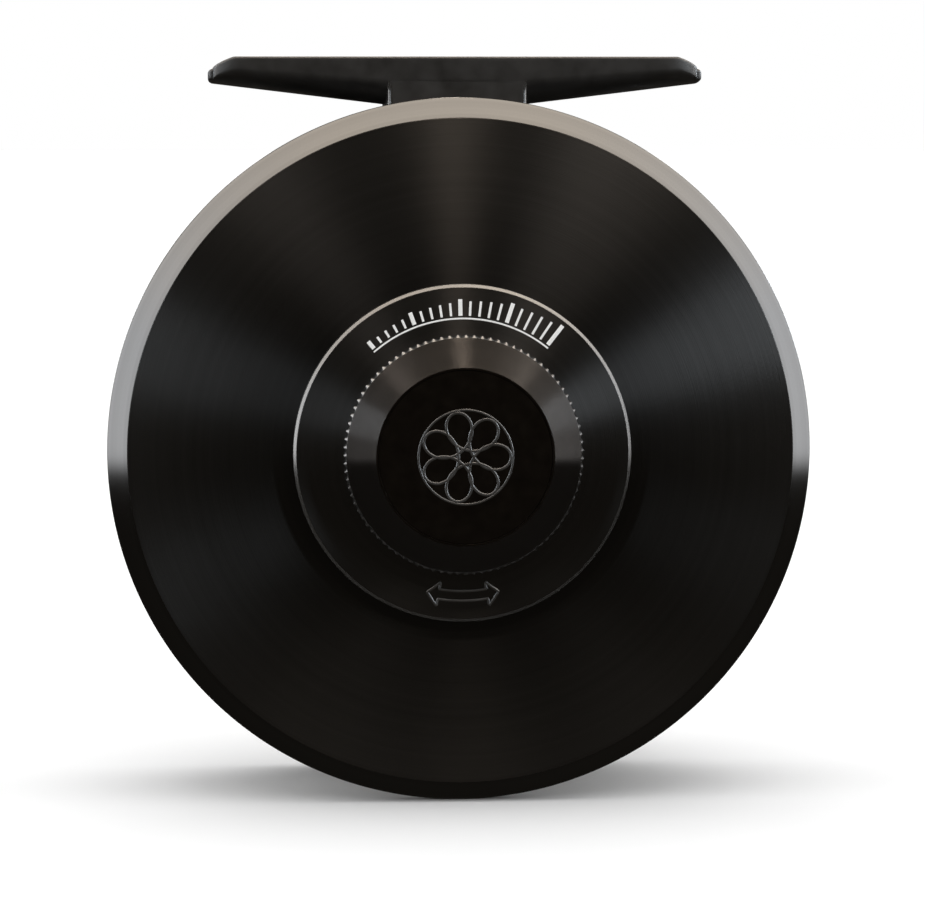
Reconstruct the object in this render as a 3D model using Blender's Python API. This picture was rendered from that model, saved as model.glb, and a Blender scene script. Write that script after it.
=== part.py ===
"""Fly reel: full-cage frame with a foot, sealed disc drag with a knurled knob, click pawl,
and a ported spool with a handle that slides off a fixed spindle.

Frame: +Z up, +X along the rod, the drag side faces -Y and the handle side +Y.
The origin is on the flat strip of the foot's seat, between the two foot screws.
All sizes below are in millimetres; MM turns them into metres when a mesh is made.
"""

import math

import bmesh
import bpy
from mathutils import Matrix, Vector

MM = 0.001

# Driving dimensions -------------------------------------------------------------
GAP = 0.3                    # clearance left between touching pieces
AXIS_Z = -48.0               # height of the spool axis
RIM_R = 45.0                 # outer radius of the frame
RIM_CHAMFER = 2.6
BACK_Y = -15.0               # outer face of the back plate
PLATE_T = 2.8
PLATE_IN_Y = BACK_Y + PLATE_T
RING_IN_R = 41.2             # open radius of the front ring
RING_OUT_R = 44.4
RING_Y0, RING_Y1 = 10.5, 13.5
PILLAR_R = 1.7
PILLAR_PCR = 42.7
PILLAR_ANGLES = (30.0, 150.0, 210.0, 270.0, 330.0)
BRIDGE_HALF = 9.0            # half width of the bridge that carries the foot
BRIDGE_BAR_R = 43.4          # top of its bar, above the axis
BRIDGE_PAD_Y = 6.8           # half width of the raised pad under the foot
FOOT_RIDGE = -4.0            # underside of the foot at its middle
FOOT_TIP_RIDGE = -1.2        # underside of the foot at its ends
BRIDGE_TOP = FOOT_RIDGE - GAP   # height of the pad's flat top

POT_IN_R, POT_OUT_R = 12.8, 14.5
POT_MOUTH_Y = -3.3

COVER_R = 21.5
COVER_BORE_R = 10.5
COVER_Y0, COVER_Y1 = -16.7, BACK_Y - GAP
COLLAR_OUT_R = 11.5
COLLAR_Y = -19.6

KNOB_R = 15.25
KNOB_Y0 = -22.0              # flat top of the knob
KNOB_Y1 = COVER_Y0 - GAP     # lower edge of its skirt
KNOB_BAND_Y = -18.9          # where the grip band meets the cone
KNOB_TOP_R = 11.3
KNOB_NOTCHES = 30
CAP_R = 10.7
CAP_T = 0.7

SPINDLE_R = 2.5
PIN_PCR, PIN_R = 8.0, 0.9    # the three thrust pins
PIN_ANGLES = (90.0, 210.0, 330.0)
KEY_ANGLES = (30.0, 150.0, 270.0)   # slots in the collar and tabs on the nut
SCREW_BORE = 0.8 + GAP       # cover screw's hole
SCREW_BORE_BIG = 1.3 + GAP   # foot screw's and spindle's holes
COVER_SCREW_PCR = 17.8
COVER_SCREW_ANGLES = (30.0, 150.0, 270.0)
DETENT_PCR = 12.8
PAWL_PCR = 17.3
PAWL_ANGLE = 215.0

ARBOR_R, ARBOR_T = 24.0, 1.5
FLANGE_R = 40.5
FLANGE_T = 1.2
REAR_FLANGE_Y = -10.9
FRONT_FLANGE_Y = 9.0
LIP_R = 44.3                 # outer radius of the palming rim
LIP_Y0, LIP_Y1 = 14.0, 16.8
HUB_R = 8.2
HUB_BORE_R = 6.3
PORT_PCR, PORT_R, PORT_SLOTS = 31.6, 4.4, 12
WEB_PORT_PCR, WEB_PORT_R = 15.4, 4.2

HANDLE_PCR = 30.6
HANDLE_ANGLE = -60.0
HANDLE_Y0, HANDLE_Y1 = 14.6, 37.0

FOOT_HALF = 31.85
FOOT_END_HALF = 4.2          # half width of its blunt ends
SEAT_SAG = 2.2               # depth of the concave seat
SEAT_HALF = 5.8
STRIP_HALF = 1.2             # half width of the flat strip on the seat floor
FOOT_BOSS_Y = 6.8            # half width of the block under the middle of the foot
FOOT_SCREW_X = 6.5

FINE, ROUND, SMALL, TINY = 56, 48, 18, 10   # segments round a turned piece

# Materials: colour, roughness, metallic
LOOKS = {
    "black_anodised": ((0.012, 0.012, 0.014), 0.30, 1.0),
    "black_insert": ((0.010, 0.010, 0.012), 0.45, 0.6),
    "stainless": ((0.62, 0.61, 0.59), 0.25, 1.0),
    "carbon": ((0.02, 0.02, 0.022), 0.55, 0.0),
    "bronze": ((0.55, 0.36, 0.16), 0.35, 1.0),
    "seal_rubber": ((0.015, 0.015, 0.015), 0.70, 0.0),
    "handle_composite": ((0.045, 0.022, 0.012), 0.40, 0.0),
    "acetal": ((0.06, 0.06, 0.065), 0.45, 0.0),
}


# Helpers ------------------------------------------------------------------------
def material(name):
    """One Principled material per look, made once and shared."""
    mat = bpy.data.materials.get(name)
    if mat is None:
        mat = bpy.data.materials.new(name)
        mat.use_nodes = True
        colour, roughness, metallic = LOOKS[name]
        shader = mat.node_tree.nodes["Principled BSDF"]
        shader.inputs["Base Color"].default_value = (*colour, 1.0)
        shader.inputs["Roughness"].default_value = roughness
        shader.inputs["Metallic"].default_value = metallic
    return mat


def polar(radius, degrees):
    """Point in the plane of the reel's side, as (x, z) from the axis."""
    a = math.radians(degrees)
    return radius * math.cos(a), radius * math.sin(a)


def finish(bm, name, look, place=(0.0, 0.0, AXIS_Z)):
    """Turn a bmesh in millimetres into a named object whose origin is at place."""
    bmesh.ops.remove_doubles(bm, verts=bm.verts, dist=0.0005)
    bmesh.ops.recalc_face_normals(bm, faces=bm.faces)
    bmesh.ops.scale(bm, vec=(MM, MM, MM), verts=bm.verts)
    mesh = bpy.data.meshes.new(name)
    bm.to_mesh(mesh)
    bm.free()
    mesh.shade_smooth()
    mesh.set_sharp_from_angle(angle=math.radians(35))
    obj = bpy.data.objects.new(name, mesh)
    obj.location = Vector(place) * MM
    bpy.context.scene.collection.objects.link(obj)
    if look:
        mesh.materials.append(material(look))
    return obj


def spun(profile, segments, radius_of=None):
    """Bmesh of a profile of (radius, y) points spun once round the Y axis.

    A profile that starts and ends on the axis makes a solid of revolution; any other is
    closed into a ring. radius_of(index, step, radius) may change a point's radius.
    """
    bm = bmesh.new()
    on_axis = profile[0][0] == 0.0 and profile[-1][0] == 0.0
    rows = []
    for i, (radius, y) in enumerate(profile):
        row = []
        for k in range(segments):
            r = radius_of(i, k, radius) if radius_of else radius
            a = 2.0 * math.pi * k / segments
            row.append(bm.verts.new((r * math.cos(a), y, r * math.sin(a))))
        rows.append(row)
    pairs = list(zip(rows, rows[1:]))
    if not on_axis:
        pairs.append((rows[-1], rows[0]))
    for low, high in pairs:
        for k in range(segments):
            n = (k + 1) % segments
            bm.faces.new((low[k], low[n], high[n], high[k]))
    bmesh.ops.remove_doubles(bm, verts=bm.verts, dist=0.0005)
    bmesh.ops.dissolve_degenerate(bm, edges=bm.edges, dist=0.0005)
    return bm


def turned(name, look, profile, segments=SMALL, place=(0.0, 0.0, AXIS_Z)):
    """A turned piece: the profile spun round its own Y axis."""
    return finish(spun(profile, segments), name, look, place)


def ring(name, look, r0, r1, y0, y1, segments=SMALL, bevel=0.0):
    """A plain ring between two radii and two faces, its outer corners bevelled."""
    b = bevel
    profile = [(r0, y0), (r1 - b, y0), (r1, y0 + b), (r1, y1 - b), (r1 - b, y1), (r0, y1)]
    if not b:
        profile = [(r0, y0), (r1, y0), (r1, y1), (r0, y1)]
    return turned(name, look, profile, segments)


def rod(bm, centre, axis, radius, length, segments=16):
    """Add a cylinder to a bmesh, centred at a point, along an axis."""
    turn = Vector((0, 0, 1)).rotation_difference(Vector(axis)).to_matrix().to_4x4()
    bmesh.ops.create_cone(
        bm, cap_ends=True, segments=segments, radius1=radius, radius2=radius,
        depth=length, matrix=Matrix.Translation(Vector(centre)) @ turn)


def along_y(bm, x, z, y0, y1, radius, segments=16):
    """Add a cylinder that runs along Y between two heights."""
    rod(bm, (x, (y0 + y1) / 2.0, z), (0, 1, 0), radius, y1 - y0, segments)


def block(bm, low, high):
    """Add a box between two corners to a bmesh."""
    low, high = Vector(low), Vector(high)
    size = Matrix.Diagonal((*(high - low), 1.0))
    bmesh.ops.create_cube(bm, size=1.0, matrix=Matrix.Translation((low + high) / 2.0) @ size)


def combine(target, bm, operation, name, place=(0.0, 0.0, AXIS_Z)):
    """Boolean a tool mesh into a target; the tool stays as a hidden wire."""
    tool = finish(bm, name, None, place)
    tool.hide_render = True
    tool.display_type = "WIRE"
    boolean = target.modifiers.new(name, "BOOLEAN")
    boolean.operation = operation
    boolean.solver = "EXACT"
    boolean.use_self = True
    boolean.object = tool


def coil(name, look, radius, wire, y0, y1, turns, place):
    """A helical wire spring along Y, as a closed tube with flat ends."""
    bm = bmesh.new()
    steps, sides = int(turns * 10), 6
    rows = []
    for i in range(steps + 1):
        t = i / steps
        a = 2.0 * math.pi * turns * t
        out = Vector((math.cos(a), 0.0, math.sin(a)))
        centre = out * radius + Vector((0.0, y0 + wire + (y1 - y0 - 2 * wire) * t, 0.0))
        row = []
        for k in range(sides):
            b = 2.0 * math.pi * k / sides
            row.append(bm.verts.new(
                centre + out * wire * math.cos(b) + Vector((0, wire * math.sin(b), 0))))
        rows.append(row)
    for low, high in zip(rows, rows[1:]):
        for k in range(sides):
            n = (k + 1) % sides
            bm.faces.new((low[k], low[n], high[n], high[k]))
    bm.faces.new(rows[0])
    bm.faces.new(rows[-1])
    return finish(bm, name, look, place)


def split_ring(name, look, r0, r1, y0, y1, opening):
    """A flat retaining ring with a gap of the given angle in degrees."""
    bm = bmesh.new()
    steps = 20
    rows = []
    for i in range(steps + 1):
        angle = opening / 2.0 + (360.0 - opening) * i / steps
        row = []
        for r, y in ((r0, y0), (r1, y0), (r1, y1), (r0, y1)):
            x, z = polar(r, angle)
            row.append(bm.verts.new((x, y, z)))
        rows.append(row)
    for low, high in zip(rows, rows[1:]):
        for k in range(4):
            n = (k + 1) % 4
            bm.faces.new((low[k], low[n], high[n], high[k]))
    bm.faces.new(rows[0])
    bm.faces.new(rows[-1])
    return finish(bm, name, look)


def cap_screw(name, head_r, head_t, shank_r, length, hex_r, place, axis=(0, 1, 0)):
    """A socket screw whose head top is at its origin and whose shank runs along axis."""
    profile = [(0.0, 0.0), (head_r, 0.0), (head_r, head_t), (shank_r, head_t),
               (shank_r, length), (0.0, length)]
    bm = spun(profile, TINY)
    turn = Vector((0, 1, 0)).rotation_difference(Vector(axis)).to_matrix()
    bmesh.ops.rotate(bm, verts=bm.verts, matrix=turn)
    screw = finish(bm, name, "stainless", place)
    socket = bmesh.new()
    rod(socket, (0, 0, 0), (0, 1, 0), hex_r, head_t, 6)
    bmesh.ops.rotate(socket, verts=socket.verts, matrix=turn)
    combine(screw, socket, "DIFFERENCE", name + "_socket", place)
    return screw


# Frame --------------------------------------------------------------------------
def make_frame():
    """Back plate with the drag pot, front ring, five pillars and the foot bridge, in one."""
    hole_r = SPINDLE_R + GAP
    plate = [(hole_r, BACK_Y), (RIM_R - RIM_CHAMFER, BACK_Y), (RIM_R, BACK_Y + RIM_CHAMFER),
             (RIM_R, PLATE_IN_Y + 0.4), (RIM_R - 0.4, PLATE_IN_Y + 0.8),
             (RING_IN_R + 0.3, PLATE_IN_Y + 0.8), (RING_IN_R - 0.1, PLATE_IN_Y),
             (POT_OUT_R, PLATE_IN_Y), (POT_OUT_R, POT_MOUTH_Y), (POT_IN_R, POT_MOUTH_Y),
             (POT_IN_R, PLATE_IN_Y), (hole_r, PLATE_IN_Y)]
    cage = turned("frame_cage", "black_anodised", plate, FINE)

    front = spun([(RING_IN_R, RING_Y0), (RING_OUT_R - 0.4, RING_Y0),
                  (RING_OUT_R, RING_Y0 + 0.4), (RING_OUT_R, RING_Y1 - 0.6),
                  (RING_OUT_R - 0.6, RING_Y1), (RING_IN_R, RING_Y1)], FINE)
    combine(cage, front, "UNION", "front_ring_tool")

    bars = bmesh.new()
    for angle in PILLAR_ANGLES:
        x, z = polar(PILLAR_PCR, angle)
        along_y(bars, x, z, PLATE_IN_Y - 0.5, RING_Y0 + 0.5, PILLAR_R)
    combine(cage, bars, "UNION", "pillar_tool")

    bridge = bmesh.new()
    block(bridge, (-BRIDGE_HALF, PLATE_IN_Y - 0.5, RING_IN_R),
          (BRIDGE_HALF, RING_Y0 + 0.5, BRIDGE_BAR_R))
    block(bridge, (-BRIDGE_HALF, -BRIDGE_PAD_Y, RING_IN_R + 1.0),
          (BRIDGE_HALF, BRIDGE_PAD_Y, BRIDGE_TOP - AXIS_Z))
    combine(cage, bridge, "UNION", "bridge_tool")

    holes = bmesh.new()
    for angle in PIN_ANGLES:
        x, z = polar(PIN_PCR, angle)
        along_y(holes, x, z, BACK_Y - 1.0, PLATE_IN_Y + 1.0, PIN_R + GAP, TINY)
    for angle in COVER_SCREW_ANGLES:
        x, z = polar(COVER_SCREW_PCR, angle)
        along_y(holes, x, z, BACK_Y - 1.0, PLATE_IN_Y - 1.0, SCREW_BORE, TINY)
        along_y(holes, x, z, PLATE_IN_Y - 1.3, PLATE_IN_Y + 1.0, SCREW_BORE_BIG, TINY)
    x, z = polar(PAWL_PCR, PAWL_ANGLE)
    along_y(holes, x, z, PLATE_IN_Y - 1.7, PLATE_IN_Y + 1.0, 0.9 + GAP, TINY)
    along_y(holes, DETENT_PCR, 0.0, BACK_Y - 1.0, BACK_Y + 1.6, 0.9 + GAP, TINY)
    for x in (-FOOT_SCREW_X, FOOT_SCREW_X):
        rod(holes, (x, 0.0, 43.0), (0, 0, 1), SCREW_BORE_BIG, 6.0, TINY)
    combine(cage, holes, "DIFFERENCE", "frame_hole_tool")


def seat_height(y):
    """Height of the foot's top: flat strip, concave flanks, then a level land."""
    reach = SEAT_HALF - STRIP_HALF
    radius = (reach ** 2 + SEAT_SAG ** 2) / (2.0 * SEAT_SAG)
    out = min(max(abs(y) - STRIP_HALF, 0.0), reach)
    return radius - math.sqrt(radius ** 2 - out ** 2)


def foot_section(x):
    """Half width, side wall height and underside depth of the foot at a station."""
    s = abs(x) / FOOT_HALF
    plan = 7.0 - 0.9 * s ** 2
    end = max(0.0, (s - 0.86) / 0.14)
    half = FOOT_END_HALF + (plan - FOOT_END_HALF) * math.sqrt(max(1.0 - end ** 2, 0.0))
    slope = min(max((s - 0.27) / 0.73, 0.0), 1.0)
    side = 2.8 - 1.6 * slope
    ridge = FOOT_RIDGE + (FOOT_TIP_RIDGE - FOOT_RIDGE) * slope
    return half, side, ridge


def make_foot():
    """The foot: a loft of sections along the rod, hollowed on top and full beneath."""
    stations = [0.0, 3.5, 8.7, 14.0, 19.5, 24.5, 27.4, 29.2, 30.4, 31.2, 31.65, FOOT_HALF]
    stations = [-x for x in reversed(stations[1:])] + stations
    bm = bmesh.new()
    rows = []
    for x in stations:
        half, side, ridge = foot_section(x)
        inner = [STRIP_HALF, 2.6, 4.2, SEAT_HALF]
        ys = [min(y, half * (0.55 + 0.12 * i)) for i, y in enumerate(inner)] + [half]
        top = [(y, seat_height(y)) for y in ys]
        low = max(top[-1][1] - side, ridge + 0.35)
        under = []
        for k in range(5):
            a = math.pi / 2.0 * k / 4.0
            under.append((half * math.cos(a), low + (ridge - low) * math.sin(a)))
        right = top + under[:-1]
        row = [(-y, z) for y, z in reversed(right)] + right + [under[-1]]
        rows.append([bm.verts.new((x, y, z)) for y, z in row])
    count = len(rows[0])
    for low, high in zip(rows, rows[1:]):
        for k in range(count):
            n = (k + 1) % count
            bm.faces.new((low[k], low[n], high[n], high[k]))
    bm.faces.new(rows[0])
    bm.faces.new(rows[-1])
    foot = finish(bm, "reel_foot", "black_anodised", (0.0, 0.0, 0.0))

    boss = bmesh.new()
    block(boss, (-BRIDGE_HALF, -FOOT_BOSS_Y, BRIDGE_TOP + GAP), (BRIDGE_HALF, FOOT_BOSS_Y, -1.0))
    combine(foot, boss, "UNION", "foot_boss_tool", (0.0, 0.0, 0.0))

    holes = bmesh.new()
    for x in (-FOOT_SCREW_X, FOOT_SCREW_X):
        rod(holes, (x, 0.0, -2.0), (0, 0, 1), SCREW_BORE_BIG, 8.0, TINY)
        rod(holes, (x, 0.0, 0.0), (0, 0, 1), 2.3 + GAP, 3.6, 16)
    combine(foot, holes, "DIFFERENCE", "foot_hole_tool", (0.0, 0.0, 0.0))
    for side, x in (("left", -FOOT_SCREW_X), ("right", FOOT_SCREW_X)):
        cap_screw("foot_screw_" + side, 2.3, 1.1, 1.3, 5.6, 1.2, (x, 0.0, -0.4), (0, 0, -1))


# Drag ---------------------------------------------------------------------------
def make_spindle():
    """The fixed spindle, its clip, and the screw that keeps the knob on."""
    body = turned("spindle", "stainless", [
        (0.0, -19.4), (SPINDLE_R, -19.4), (SPINDLE_R, -11.9), (4.4, -11.9), (4.4, -10.7),
        (SPINDLE_R, -10.7), (SPINDLE_R, -0.6), (2.0, -0.6), (2.0, 0.2), (SPINDLE_R, 0.2),
        (SPINDLE_R, 10.6), (2.1, 11.0), (0.0, 11.0)], SMALL)
    bores = bmesh.new()
    along_y(bores, 0, 0, -20.0, -14.6, 1.2 + GAP, TINY)
    along_y(bores, 0, 0, 3.0, 12.0, SCREW_BORE_BIG, TINY)
    combine(body, bores, "DIFFERENCE", "spindle_bore_tool")
    split_ring("hub_clip", "stainless", 2.0 + GAP, 3.5, -0.4, 0.0, 60.0)
    cap_screw("knob_screw", 2.7, 0.5, 1.2, 5.6, 1.1, (0.0, -20.9, AXIS_Z))


def keys(low, high):
    """Bmesh of one box at each key angle, given where it would stand at angle 0."""
    bm = bmesh.new()
    for angle in KEY_ANGLES:
        old = set(bm.verts)
        block(bm, low, high)
        bmesh.ops.rotate(bm, verts=[v for v in bm.verts if v not in old],
                         matrix=Matrix.Rotation(-math.radians(angle), 3, "Y"))
    return bm


def make_cover():
    """Raised cover plate with the collar that keys the drag nut, and its three screws."""
    edge = 0.45
    cover = turned("cover_plate", "black_anodised", [
        (COVER_BORE_R, COLLAR_Y), (COLLAR_OUT_R, COLLAR_Y), (COLLAR_OUT_R, COVER_Y0),
        (COVER_R - edge, COVER_Y0), (COVER_R, COVER_Y0 + edge), (COVER_R, COVER_Y1),
        (COVER_BORE_R, COVER_Y1)], ROUND)
    cuts = bmesh.new()
    for angle in COVER_SCREW_ANGLES:
        x, z = polar(COVER_SCREW_PCR, angle)
        along_y(cuts, x, z, COVER_Y0 + 0.4, COVER_Y1 + 1.0, SCREW_BORE, TINY)
    along_y(cuts, DETENT_PCR, 0.0, COVER_Y0 - 1.0, COVER_Y1 + 1.0, 0.9 + GAP, TINY)
    combine(cover, cuts, "DIFFERENCE", "cover_hole_tool")
    slots = keys((9.0, COLLAR_Y - 1.0, -1.5), (12.2, COVER_Y0 - 0.2, 1.5))
    combine(cover, slots, "DIFFERENCE", "collar_slot_tool")
    for i, angle in enumerate(COVER_SCREW_ANGLES):
        x, z = polar(COVER_SCREW_PCR, angle)
        cap_screw("cover_screw_%d" % (i + 1), 1.3, 0.9, 0.8, 3.5, 0.6,
                  (x, PLATE_IN_Y - 0.1, AXIS_Z + z), (0, -1, 0))


def make_knob():
    """Knurled drag knob, the flat cap in its face, and the toothed detent ring inside."""
    band = (1, 2)

    def grip(index, step, radius):
        return radius - (0.35 if index in band and step % 2 else 0.0)

    neck_r, neck_bore = 4.0, SPINDLE_R + GAP
    cap_floor = KNOB_Y0 + CAP_T + GAP
    profile = [
        (KNOB_R - 0.3, KNOB_BAND_Y - 0.15), (KNOB_R, KNOB_BAND_Y + 0.1),
        (KNOB_R, KNOB_Y1 - 0.3), (KNOB_R - 0.4, KNOB_Y1), (14.1, KNOB_Y1), (14.1, -18.5),
        (11.8, -18.5), (11.8, -20.3), (neck_r, -20.3), (neck_r, -17.2), (neck_bore, -17.2),
        (neck_bore, -19.7), (1.5, -19.7), (1.5, -20.2), (3.0, -20.2), (3.0, cap_floor),
        (CAP_R + GAP, cap_floor), (CAP_R + GAP, KNOB_Y0), (KNOB_TOP_R, KNOB_Y0)]
    finish(spun(profile, 2 * KNOB_NOTCHES, grip), "knob_shell", "black_anodised")

    turned("knob_cap", "black_insert", [
        (0.0, KNOB_Y0), (CAP_R - 0.2, KNOB_Y0), (CAP_R, KNOB_Y0 + 0.2),
        (CAP_R, KNOB_Y0 + CAP_T), (0.0, KNOB_Y0 + CAP_T)], ROUND)

    count = 32
    teeth = spun([(12.1, -18.2), (13.8, -18.2), (13.8, -17.3), (12.1, -17.3)], count)
    for vert in teeth.verts:
        step = round(math.atan2(vert.co.z, vert.co.x) * count / (2.0 * math.pi))
        if vert.co.y > -17.5 and step % 2:
            vert.co.y -= 0.35
    finish(teeth, "detent_ring", "acetal")


def make_drag_nut():
    """Keyed nut that the knob's thread drives along, and the two spring washers."""
    nut = ring("drag_nut", "bronze", 4.3, 9.6, -19.9, -18.6)
    combine(nut, keys((8.8, -19.9, -1.1), (11.1, -18.6, 1.1)), "UNION", "nut_tab_tool")

    def washer(name, y_in, y_out, t):
        turned(name, "stainless", [(4.6, y_in), (9.3, y_out), (9.3, y_out + t), (4.6, y_in + t)])

    washer("spring_washer_outer", -18.3, -17.85, 0.35)
    washer("spring_washer_inner", -16.95, -17.38, 0.35)


def make_drag_stack():
    """Pressure plate, friction discs, clutch housing, lid, snap ring and seal in the pot."""
    ring("thrust_ring", "stainless", 6.2, 9.8, -16.3, -15.7)
    plate = ring("pressure_plate", "stainless", 4.9, 12.2, -11.8, -10.8)
    pins = bmesh.new()
    for angle in PIN_ANGLES:
        x, z = polar(PIN_PCR, angle)
        along_y(pins, x, z, -15.4, -11.5, PIN_R, TINY)
    combine(plate, pins, "UNION", "thrust_pin_tool")
    ring("friction_disc_rear", "carbon", 5.2, 12.1, -10.1, -9.1)
    turned("clutch_housing", "black_anodised", [
        (5.0, -8.8), (12.1, -8.8), (12.1, -7.8), (6.6, -7.8), (6.6, -3.9), (5.0, -3.9)])
    ring("roller_clutch", "stainless", 3.8, 4.7, -8.6, -4.2)
    ring("friction_disc_front", "carbon", 7.1, 12.1, -7.5, -6.5)
    ring("pot_lid", "black_anodised", 7.1, 12.4, -6.2, -5.2)
    split_ring("lid_snap_ring", "stainless", 11.2, 12.4, -4.9, -4.2, 40.0)
    ring("hub_seal", "seal_rubber", 6.9, 8.9, -4.9, -3.9, SMALL, 0.2)


def wedge_ring(y0, y1, r0, r1, width):
    """Bmesh of four sectors of a ring, each of the given angle, spaced by a quarter turn."""
    bm = bmesh.new()
    for quarter in range(4):
        rows = []
        for i in range(5):
            angle = 90.0 * quarter + width * (i / 4.0 - 0.5)
            row = []
            for r, y in ((r0, y0), (r1, y0), (r1, y1), (r0, y1)):
                x, z = polar(r, angle)
                row.append(bm.verts.new((x, y, z)))
            rows.append(row)
        for low, high in zip(rows, rows[1:]):
            for k in range(4):
                n = (k + 1) % 4
                bm.faces.new((low[k], low[n], high[n], high[k]))
        bm.faces.new(rows[0])
        bm.faces.new(rows[-1])
    return bm


def make_drive():
    """Hub with four dogs in the drag, and the pocketed ring in the spool that they turn."""
    hub = turned("drive_hub", "stainless", [
        (SPINDLE_R + GAP, -9.0), (3.5, -9.0), (3.5, -3.4), (5.8, -3.4), (5.8, -2.2),
        (SPINDLE_R + GAP, -2.2)])
    combine(hub, wedge_ring(-2.4, -0.9, 4.5, 5.6, 30.0), "UNION", "dog_tool")
    pocket = ring("drive_ring", "bronze", 3.9, 6.0, -1.9, 0.4)
    combine(pocket, wedge_ring(-3.0, -0.5, 4.1, 6.9, 42.0), "DIFFERENCE", "pocket_tool")


# Click pawl and detent ------------------------------------------------------------
def make_click():
    """Toothed click ring in the spool, with the sprung pawl on the back plate."""
    def tooth(index, step, radius):
        return radius + (0.9 if radius < 20.0 and step % 2 else 0.0)

    finish(spun([(19.7, -10.5), (22.2, -10.5), (22.2, -9.0), (19.7, -9.0)], 48, tooth),
           "click_gear", "stainless")
    x, z = polar(PAWL_PCR, PAWL_ANGLE)
    place = (x, 0.0, AXIS_Z + z)
    turned("pawl_pin", "stainless", [
        (0.0, PLATE_IN_Y - 1.4), (0.9, PLATE_IN_Y - 1.4), (0.9, -8.9), (1.5, -8.9),
        (1.5, -8.5), (0.0, -8.5)], TINY, place)
    pawl = turned("click_pawl", "stainless", [
        (1.2, -10.6), (1.7, -10.6), (1.7, -9.2), (1.2, -9.2)], 16, place)
    nose = bmesh.new()
    along_nose = [(1.3, -1.0), (1.3, 1.0), (2.1, 0.25), (2.1, -0.25)]
    low = [nose.verts.new((out, -10.6, side)) for out, side in along_nose]
    high = [nose.verts.new((out, -9.2, side)) for out, side in along_nose]
    nose.faces.new(low)
    nose.faces.new(high)
    for k in range(4):
        n = (k + 1) % 4
        nose.faces.new((low[k], low[n], high[n], high[k]))
    bmesh.ops.rotate(nose, verts=nose.verts,
                     matrix=Matrix.Rotation(-math.radians(PAWL_ANGLE), 3, "Y"))
    combine(pawl, nose, "UNION", "nose_tool", place)
    coil("pawl_spring", "stainless", 1.45, 0.18, -12.0, -10.9, 2.5, place)


def make_detent():
    """Plunger and coil spring under the knob's toothed ring."""
    place = (DETENT_PCR, 0.0, AXIS_Z)
    turned("detent_plunger", "stainless", [
        (0.0, -17.0), (0.45, -16.9), (0.8, -16.6), (0.9, -16.2), (0.9, -15.0), (0.0, -15.0)],
        TINY, place)
    coil("detent_spring", "stainless", 0.62, 0.14, -14.75, -13.65, 3.0, place)


# Spool --------------------------------------------------------------------------
def make_spool():
    """Ported spool: hub, web, arbor, two flanges and the palming rim in one turned piece."""
    wall = ARBOR_R - ARBOR_T
    rim_in = FLANGE_R - 1.8
    spool = turned("spool", "black_anodised", [
        (HUB_BORE_R, -2.2), (HUB_R, -2.2), (HUB_R, FRONT_FLANGE_Y), (wall, FRONT_FLANGE_Y),
        (wall, REAR_FLANGE_Y), (FLANGE_R, REAR_FLANGE_Y), (FLANGE_R, REAR_FLANGE_Y + FLANGE_T),
        (ARBOR_R, REAR_FLANGE_Y + FLANGE_T), (ARBOR_R, FRONT_FLANGE_Y),
        (FLANGE_R, FRONT_FLANGE_Y), (FLANGE_R, LIP_Y0), (LIP_R - 0.6, LIP_Y0),
        (LIP_R, LIP_Y0 + 0.6), (LIP_R, LIP_Y1 - 1.2), (LIP_R - 1.2, LIP_Y1),
        (rim_in, LIP_Y1), (rim_in, FRONT_FLANGE_Y + FLANGE_T),
        (HUB_R, FRONT_FLANGE_Y + FLANGE_T + 0.8), (HUB_R, 12.0), (HUB_BORE_R, 12.0),
        (HUB_BORE_R, 7.3), (5.3, 7.3), (5.3, 4.0), (HUB_BORE_R, 4.0)], ROUND)

    boss = bmesh.new()
    x, z = polar(HANDLE_PCR, HANDLE_ANGLE)
    along_y(boss, x, z, FRONT_FLANGE_Y + 0.2, 12.8, 4.6, 24)
    combine(spool, boss, "UNION", "boss_tool")

    holes = bmesh.new()
    for slot in range(PORT_SLOTS):
        if slot % (PORT_SLOTS // 2):
            hx, hz = polar(PORT_PCR, HANDLE_ANGLE + 360.0 * slot / PORT_SLOTS)
            along_y(holes, hx, hz, FRONT_FLANGE_Y - 2.0, 14.0, PORT_R, 20)
    for slot in range(6):
        hx, hz = polar(WEB_PORT_PCR, 30.0 + 60.0 * slot)
        along_y(holes, hx, hz, FRONT_FLANGE_Y - 2.0, 14.0, WEB_PORT_R, 20)
    along_y(holes, x, z, FRONT_FLANGE_Y - 1.0, 14.0, 1.5 + GAP, TINY)
    along_y(holes, -x, -z, FRONT_FLANGE_Y - 1.0, 14.0, 1.1 + GAP, TINY)
    combine(spool, holes, "DIFFERENCE", "port_tool")


def make_bearings():
    """Two ball races in the spool's hub, their inner rings on a spacer."""
    for name, y0 in (("rear", 0.7), ("front", 7.6)):
        ring(name + "_bearing_inner", "stainless", SPINDLE_R + GAP, 3.8, y0, y0 + 3.0)
        ring(name + "_bearing_outer", "stainless", 4.7, 6.0, y0, y0 + 3.0)
    ring("bearing_spacer", "bronze", SPINDLE_R + GAP, 3.8, 4.0, 7.3)


def make_spool_cap():
    """Knurled cap screw that keeps the spool on the spindle."""
    def grip(index, step, radius):
        return radius - (0.35 if radius > 8.0 and step % 2 else 0.0)

    profile = [(0.0, 15.9), (7.2, 15.9), (8.4, 15.2), (8.4, 12.8), (7.6, 12.3),
               (1.3, 12.3), (1.3, 5.0), (0.0, 5.0)]
    finish(spun(profile, 32, grip), "spool_cap", "black_anodised")


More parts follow.
